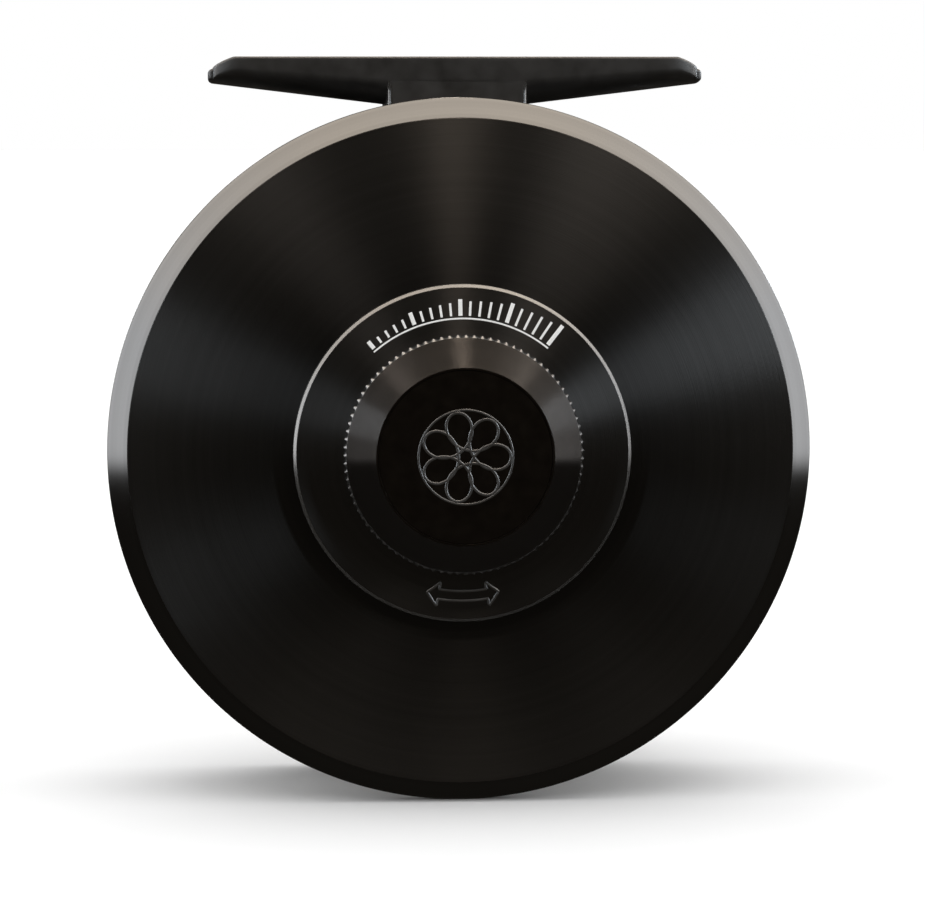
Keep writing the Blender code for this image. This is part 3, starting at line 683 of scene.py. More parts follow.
def finish_of(name):
    """The named finish, made the first time that it is asked for."""
    if name in MATERIALS:
        return MATERIALS[name]
    look = settings()[0]
    turning = dict(rough=look.face_rough, grain=look.face_grain, scroll=look.scroll)
    polish = dict(depth=0.000002)
    made = {
        "black": lambda: turned_metal("black turned", look.black, **turning),
        # The back plate's face carries painted shade, darker toward the middle and lighter
        # toward the rim.
        "shaded_plate": lambda: turned_metal("black turned plate, painted shade", look.black, painted_shade_span=(1.5, 3.8),
                                            **turning),
        "black_edge": lambda: turned_metal("black turned rim", look.edge, look.edge_rough,
                                           **polish),
        # Polished edges whose colour is painted lighter as a highlight.
        "painted_highlight_edge": lambda: turned_metal("painted highlight edge", look.painted_highlight_edge,
                                            look.edge_rough * 1.8, metallic=0.91, **polish),
        # The knob's sloped ring: black anodise painted darker as shade.
        "shaded_cone": lambda: turned_metal("black turned cone, painted shade", look.cone, 0.24,
                                           look.face_grain, metallic=0.93),
        "milled": lambda: milled_metal("black milled", look.black_milled, 0.48),
        "insert": lambda: milled_metal("black insert", look.insert, 0.35, 500.0),
        "relief": lambda: milled_metal("relief line", RELIEF_COLOUR, 0.4, 500.0),
        "steel": lambda: turned_metal("stainless turned", look.steel, 0.24, 0.5, 90.0),
        "ground": lambda: milled_metal("stainless ground", look.steel, 0.28, 400.0),
        "bronze": lambda: milled_metal("bronze", look.bronze, 0.32, 350.0),
        "carbon": make_carbon,
        "rubber": lambda: clouded("seal rubber", look.rubber, shade_of(look.rubber, 2.0), 0.72,
                                  250.0, 0.00002, 0.5),
        "grip": make_laminate,
        "acetal": lambda: clouded("acetal", *ACETAL_COLOURS, 0.4, 200.0),
        "scale": lambda: clouded("scale enamel", shade_of(look.scale_white, 0.9),
                                 look.scale_white, 0.45, 600.0, strength=0.3),
    }[name]()
    MATERIALS[name] = made
    return made


def make_carbon():
    """Friction composite: a twill of dark fibre in matt resin."""
    mat, tree, shader = start_material("carbon friction")
    cloth = group_node(tree, weave, Threads=900.0)
    base = settings()[0].carbon
    wire(tree, blend_colours(tree, cloth.outputs["Over"], base, shade_of(base, 2.2)),
         shader.inputs["Base Color"])
    shader.inputs["Roughness"].default_value = 0.5
    bump(tree, shader, cloth.outputs["Height"], 0.00005, 0.6)
    return mat


def make_laminate():
    """Turned canvas laminate: thin cloth layers stacked across the grip, cut by its curve.

    Layers run across world X: stripe = noise of x; the cloth shows as a fine noise in them.
    """
    mat, tree, shader = start_material("grip laminate")
    where = add_node(tree, "TexCoord").outputs["Object"]
    warp = noise(tree, where, Scale=120.0)
    lean = maths(tree, "MULTIPLY", warp.outputs["Fac"], 0.0009)
    layer = noise(tree, maths(tree, "ADD", parts_of(tree, "Object")["X"], lean), "1D", "W",
                  Scale=1700.0, Detail=2.0)
    thread = noise(tree, where, Scale=2600.0)
    base = settings()[0].grip
    mask = maths(tree, "ADD", maths(tree, "MULTIPLY", layer.outputs["Fac"], 0.75),
                 maths(tree, "MULTIPLY", thread.outputs["Fac"], 0.3))
    ramp = blend_values(tree, mask, 0.0, 1.0)
    wire(tree, blend_colours(tree, ramp, base, shade_of(base, 2.6)),
         shader.inputs["Base Color"])
    shader.inputs["Roughness"].default_value = 0.33
    shader.inputs["Coat Weight"].default_value = 0.25
    shader.inputs["Coat Roughness"].default_value = 0.12
    bump(tree, shader, mask, 0.00003, 0.35)
    return mat


def dress(obj, finish, body, slot, *replaced):
    """Give a finished piece its material and its body, and hide the nodes it stands for. slot
    is not used.
    """
    obj.data.materials.clear()
    obj.data.materials.append(finish_of(finish))
    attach(obj, body)
    if replaced:
        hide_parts(*replaced)
    return obj


def band(obj, finish, radii, heights):
    """Give the faces between two radii and two heights their own finish."""
    mesh = obj.data
    mesh.materials.append(finish_of(finish))
    middles = np.empty(len(mesh.polygons) * 3, np.float32)
    mesh.polygons.foreach_get("center", middles)
    middles = middles.reshape(-1, 3) / MM
    reach = np.hypot(middles[:, 0] - AXIS[0], middles[:, 2] - AXIS[1])
    inside = ((reach > radii[0]) & (reach < radii[1])
              & (middles[:, 1] > heights[0]) & (middles[:, 1] < heights[1]))
    index = np.empty(len(mesh.polygons), np.int32)
    mesh.polygons.foreach_get("material_index", index)
    index[inside] = len(mesh.materials) - 1
    mesh.polygons.foreach_set("material_index", index)


def corner_band(obj, finish, reach, top):
    """Give upright rounded corners within a reach and below a top their own finish.

    They are found by their normals, which slant between x and y and hardly rise.
    """
    least_slant, most_rise = 0.2, 0.3
    mesh = obj.data
    mesh.materials.append(finish_of(finish))
    for face in mesh.polygons:
        slant = min(abs(face.normal.x), abs(face.normal.y))
        if (slant > least_slant and abs(face.normal.z) < most_rise
                and abs(face.center.x) < reach * MM and face.center.z < top * MM):
            face.material_index = len(mesh.materials) - 1


def cut_away(obj, shells):
    """Take closed shells out of a piece with a Boolean and keep the result."""
    cutter = joined("cutter", shells)
    cut = obj.modifiers.new("cut", "BOOLEAN")
    cut.object = cutter
    cut.use_self = True
    graph = bpy.context.evaluated_depsgraph_get()
    mesh = bpy.data.meshes.new_from_object(obj.evaluated_get(graph))
    obj.modifiers.clear()
    obj.data = mesh
    mesh.name = obj.name
    mesh.set_sharp_from_angle(angle=SHARP_ANGLE)
    bpy.data.objects.remove(cutter)


def drill(obj, places, radius, floor_z, top_z):
    """Cut round flat-bottomed holes down into a piece from above."""
    ring = np.array([(radius, floor_z), (radius, top_z)])
    shells = []
    for x, y in places:
        points, faces, uv = lathe_arrays(ring, 48, (0.0, 0.0), False)
        turned = np.stack([points[:, 0] + x, points[:, 2] + y, points[:, 1]], axis=-1)
        shells.append((turned, faces, uv))
    cut_away(obj, shells)


BORE_PLAY, BORE_DEPTH = 0.07, 1.6


def plunger_bore(obj):
    """Cut the bore of the knob's sprung detent plunger, which lies along Y."""
    low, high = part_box("detent_plunger")
    spot = ((low[0] + high[0]) / 2.0 / MM, (low[2] + high[2]) / 2.0 / MM)
    radius = max(high[0] - low[0], high[2] - low[2]) / 2.0 / MM + BORE_PLAY
    wall = np.array([(radius, KNOB_Y1), (radius, PLATE_Y + BORE_DEPTH)])
    cut_away(obj, [lathe_arrays(wall, 32, spot, False)])


class ReelOperator(bpy.types.Operator):
    """Shared base: every build step registers and can be undone."""

    bl_options = {"REGISTER", "UNDO"}


# Frame --------------------------------------------------------------------------
PILLARS = (30.0, 150.0, 210.0, 270.0, 330.0)
PILLAR_AT, PILLAR_R, PILLAR_FLARE, FLARE_REACH = 42.7, 1.394, 0.27, 1.6
PLATE_T, CHAMFER = 2.8, 2.6
RING_IN_R, RING_OUT_R, RING_T = 41.2, 44.4, 3.0
BRIDGE_HALF, BRIDGE_TOP = 9.0, 43.4


class REEL_OT_cage(ReelOperator):
    """Back plate with its chamfered rim and drag pot, front ring, pillars and foot bridge"""

    bl_idname = "reel.cage"
    bl_label = "Build Cage"

    def execute(self, context):
        inner = PLATE_Y + PLATE_T
        step = inner + 1.5
        pot_in, pot_out, pot_mouth, bore = 12.8, 14.5, -3.3, 2.8
        plate = lathe("back_plate", [
            (bore, PLATE_Y), (COVER_R - 0.6, PLATE_Y), (COVER_R + 0.5, PLATE_Y),
            (RIM_R - CHAMFER, PLATE_Y), (RIM_R, PLATE_Y + CHAMFER), (RIM_R, step - 0.5),
            (RIM_R - 0.5, step), (RING_IN_R + 0.2, step), (RING_IN_R - 0.6, inner),
            (pot_out, inner), (pot_out, pot_mouth), (pot_in, pot_mouth), (pot_in, inner),
            (bore, inner)],
            [0.1, 0.02, 0.02, 0.08, 0.08, 0.1, 0.2, 0.3, 0.4, 0.5, 0.3, 0.2, 0.3, 0.1], 384)
        plunger_bore(plate)
        # Its colour carries painted shade across the face, darker near the cover than near the
        # rim.
        dress(plate, "shaded_plate", "frame", "black_anodised", "frame_cage")
        band(plate, "black_edge", (RIM_R - CHAMFER + 0.02, RIM_R + 1.0),
             (PLATE_Y + 0.02, PLATE_Y + CHAMFER + 0.1))

        y0, y1 = FRAME_Y1 - RING_T, FRAME_Y1
        ring = lathe("front_ring", [
            (RING_IN_R, y0 + 0.3), (RING_IN_R + 0.4, y0), (RING_OUT_R - 0.6, y0),
            (RING_OUT_R, y0 + 0.6), (RING_OUT_R, y1 - 0.6), (RING_OUT_R - 0.6, y1),
            (RING_IN_R, y1)], 0.15, 320)
        dress(ring, "black", "frame", "black_anodised", "frame_cage")

        # Pillars: a straight post whose radius eases out over the last FLARE_REACH.
        start, length = inner - 0.3, y0 + 0.3 - (inner - 0.3)
        along = np.linspace(0.0, 1.0, 41)
        near_end = np.minimum(along, 1.0 - along) * length
        flare = PILLAR_FLARE * np.clip(1.0 - near_end / FLARE_REACH, 0.0, 1.0) ** 2
        profile = np.stack([PILLAR_R + flare, start + along * length], axis=-1)
        shells = []
        for angle in PILLARS:
            a = math.radians(angle)
            centre = (PILLAR_AT * math.cos(a), AXIS_Z + PILLAR_AT * math.sin(a))
            shells.append(lathe_arrays(profile, 32, centre, False))
        dress(joined("pillars", shells), "milled", "frame", "black_anodised", "frame_cage")

        # Bridge bar: rounded sections in the plane of the side, carried from plate to ring.
        y = np.linspace(inner - 0.4, y0 + 0.4, 33)
        near = np.minimum(y - y[0], y[-1] - y)
        wide = BRIDGE_HALF - 0.15 + 0.9 * np.clip(1.0 - near / 2.2, 0, 1) ** 2
        corner = rounded([(-1.0, RING_IN_R + 0.1), (1.0, RING_IN_R + 0.1), (1.0, BRIDGE_TOP),
                          (-1.0, BRIDGE_TOP)], 0.4, True, 7)
        side_sign = np.sign(corner[:, 0])
        base = corner[:, 0] - side_sign
        x = side_sign[None] * wide[:, None] + base[None]
        z = AXIS_Z + np.broadcast_to(corner[:, 1], x.shape)
        sections = np.stack([x, np.broadcast_to(y[:, None], x.shape), z], -1)
        bar = joined("foot_bridge", [loft_arrays(sections)])
        dress(bar, "milled", "frame", "black_anodised", "frame_cage")
        return {"FINISHED"}


# Foot ---------------------------------------------------------------------------
SEAT_HALF, STRIP_HALF = 5.8, 1.2
SEAT_SAG = span("reel_foot", 2)[1]
END_SOFT = 0.6
FOOT_HALF_Y, FOOT_TAPER, TIP_HALF_Y = 7.0, 0.9, 4.2
SIDE_MID, SIDE_TIP = 2.8, 1.2
RIDGE_MID, RIDGE_TIP, RIDGE_FLAT = span("reel_foot", 2)[0], -1.2, 0.27
STEM_HALF_Y, STEM_TOP, STEM_DEPTH = 6.95, -0.9, 4.2
FOOT_SCREW_X, SCREW_SEAT_R, SCREW_SEAT_Z = 6.5, 2.62, -1.55


def socket_head(radius, height, hex_r, deep=0.75):
    """Shells of a socket screw's head: top at y = 0 on its own axis, body below, in +Y.

    The head is a turned profile; the socket is a hexagonal well whose outline radius is
    hex_r / cos(a - 60 round(a / 60)), sunk from the top.
    """
    count, soft = 96, 0.14 * radius
    profile = rounded([(hex_r * 1.12, 0.0), (radius, 0.0), (radius, height),
                       (0.4 * radius, height)], [0.05, soft, 0.1, 0.05], False)
    a = np.arange(count) * TAU / count
    hexagon = hex_r / np.cos((a + math.pi / 6.0) % (math.pi / 3.0) - math.pi / 6.0)
    well = hexagon * 0.93
    levels = [(np.full(count, r), y) for r, y in profile[::-1]]
    levels += [(np.full(count, hex_r * 1.06), 0.0), (well, 0.1), (well, deep * 0.5),
               (well, deep), (hexagon * 0.02, deep + 0.15)]
    return [loft_arrays(np.stack([np.stack([r * np.cos(a), np.full(count, y), r * np.sin(a)],
                                           -1) for r, y in levels]))]


def stand_up(shells, place):
    """Turn shells that face -Y so that they face +Z, then move them."""
    moved = []
    for points, faces, uv in shells:
        turned = np.stack([points[:, 0], points[:, 2], -points[:, 1]], axis=-1)
        moved.append((turned + np.asarray(place), faces, uv))
    return moved


def face_front(shells, place):
    """Turn shells that face -Y so that they face +Y, then move them."""
    return [(points * np.array([1.0, -1.0, 1.0]) + np.asarray(place), faces, uv)
            for points, faces, uv in shells]


def shank(radius, y0, y1, spot):
    """Shell of a plain pin along Y with softened ends."""
    profile = rounded([(0.0, y0), (radius, y0), (radius, y1), (0.0, y1)], 0.15, False)
    return lathe_arrays(profile, 40, spot, False)


def seat_height(y):
    """Height of the foot's top: zero on the flat strip, then a circle's rise to the land."""
    reach = SEAT_HALF - STRIP_HALF
    radius = (reach ** 2 + SEAT_SAG ** 2) / (2.0 * SEAT_SAG)
    out = np.clip(np.abs(y) - STRIP_HALF, 0.0, reach)
    return radius - np.sqrt(radius ** 2 - out ** 2)


class REEL_OT_foot(ReelOperator):
    """Reel foot: concave seat with level lands, straight sides and a full underside"""

    bl_idname = "reel.foot"
    bl_label = "Build Foot"

    def execute(self, context):
        length = (span("reel_foot", 0)[1] - span("reel_foot", 0)[0]) / 2.0
        # Along the foot s runs from -1 to 1. Past turn the width closes on a quarter circle.
        turn = 0.86
        e = np.linspace(0.0, math.pi / 2.0, 24)[1:]
        s = np.concatenate([np.linspace(0.0, turn, 34), turn + (1.0 - turn) * np.sin(e)])
        ease = np.concatenate([np.ones(34), np.cos(e)])
        # The last steps close the blunt end: the section shrinks on a quarter circle.
        close = np.linspace(0.0, math.pi / 2.0, 9)[1:]
        s = np.concatenate([s * (1.0 - END_SOFT / length),
                            1.0 - (END_SOFT / length) * (1.0 - np.sin(close))])
        ease = np.concatenate([ease, np.zeros(8)])
        inset = np.concatenate([np.zeros(57), END_SOFT * (1.0 - np.cos(close))])
        s, ease = np.concatenate([-s[:0:-1], s]), np.concatenate([ease[:0:-1], ease])
        inset = np.concatenate([inset[:0:-1], inset])
        half = TIP_HALF_Y + (FOOT_HALF_Y - FOOT_TAPER * s ** 2 - TIP_HALF_Y) * ease
        slope = np.clip((np.abs(s) - RIDGE_FLAT) / (1.0 - RIDGE_FLAT), 0.0, 1.0)
        side = SIDE_MID + (SIDE_TIP - SIDE_MID) * slope
        ridge = RIDGE_MID + (RIDGE_TIP - RIDGE_MID) * slope

        soft = 0.32
        inner = np.concatenate([np.linspace(0.0, STRIP_HALF, 4),
                                np.linspace(STRIP_HALF, SEAT_HALF, 16)[1:]])
        share = np.minimum(half - soft - 0.02, SEAT_HALF) / SEAT_HALF
        bend = np.linspace(0.0, math.pi / 2.0, 7)
        land = half[:, None] - soft + soft * np.sin(bend)
        y = np.concatenate([inner[None] * share[:, None], land], axis=1)
        z = seat_height(np.minimum(y, (half - soft)[:, None]))
        z[:, len(inner):] -= soft * (1.0 - np.cos(bend))
        low = np.maximum(z[:, -1] - side + soft, ridge + 0.3)
        q = np.linspace(0.0, math.pi / 2.0, 18)[1:]
        under_y = half[:, None] * np.cos(q) ** 0.9
        under_z = low[:, None] + (ridge - low)[:, None] * np.sin(q)
        wall_y = np.repeat(half[:, None], 3, axis=1)
        wall_z = z[:, -1:] + (low - z[:, -1])[:, None] * np.array([0.15, 0.5, 1.0])
        ry = np.concatenate([y, wall_y, under_y], axis=1)
        rz = np.concatenate([z, wall_z, under_z], axis=1)
        loop_y = np.concatenate([ry, -ry[:, -2:0:-1]], axis=1)
        loop_z = np.concatenate([rz, rz[:, -2:0:-1]], axis=1)
        middle = (ridge + 0.4)[:, None] / 2.0
        shrink = 1.0 - inset[:, None] / 1.1
        loop_z = middle + (loop_z - middle) * shrink
        loop_y = loop_y * (1.0 - inset / TIP_HALF_Y)[:, None]
        x = np.broadcast_to((s * length)[:, None], loop_y.shape)
        foot = loft_arrays(np.stack([x, loop_y, loop_z], -1))

        # Stem: a rounded oblong whose width spreads a little where it meets the foot.
        corner = rounded([(-BRIDGE_HALF, -STEM_HALF_Y), (BRIDGE_HALF, -STEM_HALF_Y),
                          (BRIDGE_HALF, STEM_HALF_Y), (-BRIDGE_HALF, STEM_HALF_Y)], 0.9,
                         True, 9)
        down = np.linspace(0.0, 1.0, 15)
        z = STEM_TOP - STEM_DEPTH * down
        spread = 1.0 + 0.05 * np.clip(1.0 - down / 0.35, 0, 1) ** 2
        across = corner[None, :, 0] * spread[:, None]
        sections = np.stack([across, np.broadcast_to(corner[None, :, 1], across.shape),
                             np.broadcast_to(z[:, None], across.shape)], -1)
        stem = loft_arrays(sections)
        piece = joined("foot_body", [foot, stem])
        drill(piece, [(-FOOT_SCREW_X, 0.0), (FOOT_SCREW_X, 0.0)], SCREW_SEAT_R,
              SCREW_SEAT_Z, 3.0)
        dress(piece, "milled", "frame", "black_anodised", "reel_foot")
        # Painted highlight: the stem's upright rounded corners get the lighter copy of the
        # black anodise, for the bright lines they reflect.
        corner_band(piece, "painted_highlight_edge", BRIDGE_HALF + 0.6, -1.0)
        for side, x in (("left", -FOOT_SCREW_X), ("right", FOOT_SCREW_X)):
            head = socket_head(2.3, 1.1, 1.2)
            screw = stand_up(head, (x, 0.0, -0.4))
            obj = joined("foot_screw_%s_fine" % side, screw)
            dress(obj, "relief", "frame", "stainless", "foot_screw_" + side)
        return {"FINISHED"}


# Cover and knob -----------------------------------------------------------------
class REEL_OT_cover(ReelOperator):
    """Raised cover plate with its white scale and the outlined turn mark"""

    bl_idname = "reel.cover"
    bl_label = "Build Cover"

    def execute(self, context):
        detail = settings()[1]
        collar_r, collar_y = 11.5, span("cover_plate", 1)[0]
        inner_r, inner_y = 10.5, PLATE_Y - 0.02
        face, edge = collar_y + 2.9, 0.42
        cover = lathe("cover_disc", [
            (inner_r, collar_y), (collar_r, collar_y), (collar_r, face), (14.6, face),
            (COVER_R - edge, face), (COVER_R, face + edge), (COVER_R, inner_y),
            (inner_r, inner_y)], [0.1, 0.1, 0.1, 0.02, 0.05, 0.05, 0.02, 0.02], 320)
        plunger_bore(cover)
        dress(cover, "black", "frame", "black_anodised", "cover_plate")
        # Painted highlight on the cover's chamfer.
        band(cover, "painted_highlight_edge", (COVER_R - edge + 0.01, COVER_R + 1.0),
             (face + 0.01, face + edge + 0.02))

        # Scale: radial beads that lengthen along the arc, every fifth one bold, on a thin
        # arc that runs just past both ends.
        shells = []
        base_r, first, last = 17.15, 130.0, 52.0
        angles = np.linspace(first, last, detail.scale_marks)
        for i, angle in enumerate(angles):
            share = i / (detail.scale_marks - 1)
            bold = i % 5 == 0
            longer, wide = (0.35, 0.26) if bold else (0.0, 0.15)
            r = np.linspace(17.5, 18.3 + 1.9 * share + longer, 9)
            path = polar_point(r, np.full(9, angle), face - 0.01)
            shells.append(tube_arrays(path, wide, closed=False, flat=0.25))
        path = polar_point(np.full(73, base_r), np.linspace(first + 1.0, last - 1.0, 73),
                           face - 0.01)
        shells.append(tube_arrays(path, 0.11, closed=False, flat=0.4))
        marks = joined("scale_marks", shells)
        dress(marks, "scale", "frame", "black_insert")

        # Turn mark: the outline of an arrow with two heads, bent round the plate.
        # Its corners are (degrees along, millimetres out) from the middle of the mark.
        half, head, wide, shaft = 14.5, 4.6, 1.5, 0.62
        neck = half - head
        corners = np.array([
            (-half, 0.0), (-neck, wide), (-neck, shaft), (neck, shaft), (neck, wide),
            (half, 0.0), (neck, -wide), (neck, -shaft), (-neck, -shaft), (-neck, -wide)])
        share = np.linspace(0.0, 1.0, 12, endpoint=False)[None, :, None]
        ahead = np.roll(corners, -1, axis=0)
        path = (corners[:, None] * (1 - share) + ahead[:, None] * share).reshape(-1, 2)
        path = polar_point(18.15 + path[:, 1], 270.0 + path[:, 0], face - 0.005)
        arrow = joined("turn_mark", [tube_arrays(path, detail.bead * 0.9, flat=0.5)])
        dress(arrow, "relief", "frame", "black_insert")
        return {"FINISHED"}


class REEL_OT_knob(ReelOperator):
    """Drag knob: fine grip band, sloped ring, flat insert and its raised rosette"""

    bl_idname = "reel.knob"
    bl_label = "Build Knob"

    def execute(self, context):
        detail = settings()[1]
        teeth, depth = detail.knob_teeth, detail.tooth_depth
        root = KNOB_R - 0.37

        def grip(r, y, a):
            """Radius less a pointed notch per tooth, on the band only."""
            wave = np.abs((a * teeth / TAU) % 1.0 * 2.0 - 1.0)
            mask = np.clip((r - root) / 0.34, 0.0, 1.0)
            return r - depth * mask * wave[None, :]

        y0, y1 = KNOB_Y0, KNOB_Y1
        shell = lathe("knob_body", [
            (KNOB_R - 0.4, y0 + 2.9), (KNOB_R - 0.38, y0 + 2.98), (KNOB_R, y0 + 3.36),
            (KNOB_R, y1 - 0.3), (KNOB_R - 0.35, y1), (14.1, y1), (14.1, y0 + 3.5),
            (11.8, y0 + 3.5), (11.8, y0 + 1.7), (4.0, y0 + 1.7), (4.0, y1 - 0.2),
            (2.8, y1 - 0.2), (2.8, y0 + 2.3), (1.5, y0 + 2.3), (1.5, y0 + 1.8),
            (3.0, y0 + 1.8), (3.0, y0 + 1.0), (11.0, y0 + 1.0), (11.0, y0),
            (11.25, y0 + 0.01)],
            [0.01, 0.01, 0.05] + [0.1] * 10 + [0.05, 0.05, 0.05, 0.1, 0.1, 0.02, 0.02],
            teeth * 8, shape=grip, steps=4)
        # Painted shade: the knob body takes the darker copy of the black anodise.
        dress(shell, "shaded_cone", "drag_knob", "black_anodised", "knob_shell")
        # Painted highlight on the knob's grip band.
        band(shell, "painted_highlight_edge", (KNOB_R - 0.39, KNOB_R + 1.0), (y0 + 2.97, y1))
        band(shell, "insert", (10.0, 11.24), (y0 - 0.1, y0 + 1.1))

        face, insert_r = y0 + 0.1, 10.96
        cap = lathe("knob_insert", [(0.0, face), (insert_r, face), (insert_r, face + 0.6),
                                    (0.0, face + 0.6)], 0.06, 256, closed=False)
        dress(cap, "insert", "drag_knob", "black_insert", "knob_cap")

        # Rosette: a small wheel's tracing point as it rolls inside a larger one.
        t = np.linspace(0.0, TAU, 720, endpoint=False)
        petals, big, arm = 7, 3.3, 2.4
        x = big * np.cos(t) + arm * np.cos((petals - 1) * t)
        z = big * np.sin(t) - arm * np.sin((petals - 1) * t)
        path = np.stack([x, np.full_like(t, face), AXIS_Z + z], -1)
        shells = [tube_arrays(path, detail.bead, flat=0.45)]
        for r in (1.0, 5.95):
            angle = np.linspace(0.0, 360.0, 180, endpoint=False)
            ring = polar_point(np.full(180, r), angle, face)
            shells.append(tube_arrays(ring, detail.bead * 0.8, flat=0.5))
        dress(joined("knob_rosette", shells), "relief", "drag_knob", "black_insert")
        return {"FINISHED"}


# Spool --------------------------------------------------------------------------
HANDLE_AT, HANDLE_ANGLE = 30.6, -60.0
ARBOR_R, FLANGE_Y0, FLANGE_Y1 = 24.0, 9.0, 10.2
REAR_Y, RIM_INNER_Y, RIM_OUTER_Y = -10.9, 14.0, 16.8
LIP_IN_R, LIP_R, FLANGE_R = 38.7, 44.3, 40.5


def spot_at(radius, degrees):
    """Centre, as (x, z), of a turned piece that stands on the spool's side."""
    x, _, z = polar_point(radius, degrees, 0.0)
    return float(x), float(z)


HANDLE_SPOT = spot_at(HANDLE_AT, HANDLE_ANGLE)
WEIGHT_SPOT = spot_at(HANDLE_AT, HANDLE_ANGLE + 180.0)


class REEL_OT_spool(ReelOperator):
    """Ported spool: drum, palming rim, ported flange and web, and hub"""

    bl_idname = "reel.spool"
    bl_label = "Build Spool"

    def execute(self, context):
        drum = lathe("spool_drum", [
            (ARBOR_R - 1.5, REAR_Y), (FLANGE_R, REAR_Y), (FLANGE_R, REAR_Y + 1.2),
            (ARBOR_R, REAR_Y + 1.2), (ARBOR_R, FLANGE_Y0 + 0.2),
            (ARBOR_R - 1.5, FLANGE_Y0 + 0.2)], [0.3, 0.4, 0.4, 0.9, 0.1, 0.1], 256)
        dress(drum, "black", "spool_body", "black_anodised", "spool")

        rim = lathe("spool_rim", [
            (LIP_IN_R, FLANGE_Y0), (FLANGE_R, FLANGE_Y0), (FLANGE_R, RIM_INNER_Y),
            (LIP_R - 0.6, RIM_INNER_Y), (LIP_R, 14.6), (LIP_R, 15.6),
            (LIP_R - 1.2, RIM_OUTER_Y), (LIP_IN_R + 0.8, RIM_OUTER_Y), (LIP_IN_R, 16.0)],
            [0.2, 0.5, 0.5, 0.3, 0.3, 0.3, 0.3, 0.3, 0.4], 384)
        dress(rim, "black", "spool_body", "black_anodised", "spool")

        flange = ported_disc("spool_flange", ARBOR_R - 0.1, LIP_IN_R + 0.4, FLANGE_Y0,
                             FLANGE_Y1, 12, HANDLE_ANGLE, 4.4, 31.6, blanks=(0, 6))
        dress(flange, "black", "spool_body", "black_anodised", "spool")
        web = ported_disc("spool_web", 9.4, ARBOR_R - 0.1, FLANGE_Y0, FLANGE_Y1, 6, 30.0,
                          4.2, 15.4)
        dress(web, "black", "spool_body", "black_anodised", "spool")

        hub = lathe("spool_hub", [
            (6.3, -2.2), (8.2, -2.2), (8.2, FLANGE_Y0), (9.5, FLANGE_Y0), (9.5, FLANGE_Y1),
            (8.2, 11.0), (8.2, 12.0), (6.3, 12.0), (6.3, 7.3), (5.3, 7.3), (5.3, 4.0),
            (6.3, 4.0)], [0.2, 0.2, 0.6, 0.02, 0.02, 0.3, 0.2, 0.2, 0.05, 0.1, 0.1, 0.05], 192)
        dress(hub, "black", "spool_body", "black_anodised", "spool")

        boss = lathe("handle_boss", [
            (1.8, FLANGE_Y0), (4.6, FLANGE_Y0 + 0.1), (4.6, FLANGE_Y1), (4.6, 12.8),
            (1.8, 12.8)], [0.05, 0.05, 0.3, 0.3, 0.1], 128, HANDLE_SPOT)
        dress(boss, "black_edge", "spool_body", "black_anodised", "spool")
        return {"FINISHED"}


class REEL_OT_handle(ReelOperator):
    """Handle post, its turned laminate grip, its screw, and the counterweight"""

    bl_idname = "reel.handle"
    bl_label = "Build Handle"

    def execute(self, context):
        y0, y1 = span("handle_knob", 1)
        spot = HANDLE_SPOT
        # Grip radius: a waist near the spool and a full swell near the end.
        share = np.linspace(0.0, 1.0, 40)
        foot_r, waist, gain = 4.72, 0.3, 1.68
        grow = np.clip((share - 0.3) / 0.6, 0, 1)
        swell = foot_r - waist * np.sin(math.pi * np.clip(share / 0.55, 0, 1)) ** 2
        swell = swell + gain * (grow ** 2 * (3 - 2 * grow))
        side = np.stack([swell, y0 + 0.55 + share * (y1 - y0 - 2.2)], -1)
        end = rounded([(6.39, y1 - 1.9), (6.1, y1), (3.7, y1), (3.7, 33.1), (2.35, 33.1),
                       (2.35, y0), (4.6, y0), (4.72, y0 + 0.5)],
                      [0.05, 1.6, 0.4, 0.1, 0.1, 0.3, 0.4, 0.05], False)
        profile = np.concatenate([side, end[1:-1]])
        grip = new_piece("handle_grip", *lathe_arrays(profile, 192, spot))
        dress(grip, "grip", "handle", "handle_composite", "handle_knob")

        post = lathe("post_fine", [
            (1.2, 9.6), (1.5, 9.5), (1.5, 13.1), (3.6, 13.1), (3.6, 14.3), (2.0, 14.3),
            (2.0, 32.9), (1.2, 32.9)], [0.05, 0.1, 0.1, 0.25, 0.25, 0.1, 0.2, 0.05], 96, spot)
        dress(post, "steel", "spool_body", "stainless", "handle_post")
        screw = face_front(socket_head(3.3, 1.3, 1.3), (spot[0], 34.5, spot[1]))
        screw.append(shank(1.0, 27.5, 33.3, spot))
        dress(joined("handle_screw_fine", screw), "ground", "spool_body", "stainless",
              "handle_screw")

        spot = WEIGHT_SPOT
        weight = lathe("counterweight_fine", [
            (1.4, 10.95), (4.8, 10.95), (4.8, 13.0), (4.4, 13.4), (2.5, 13.4), (2.5, 12.2),
            (1.4, 12.2)], [0.1, 0.1, 0.15, 0.15, 0.1, 0.1, 0.1], 96, spot)
        dress(weight, "steel", "spool_body", "stainless", "counterweight")
        screw = face_front(socket_head(2.2, 0.8, 0.9, 0.5), (spot[0], 13.3, spot[1]))
        screw.append(shank(1.1, 9.8, 12.6, spot))
        dress(joined("counterweight_screw_fine", screw), "ground", "spool_body", "stainless",
              "counterweight_screw")
        return {"FINISHED"}


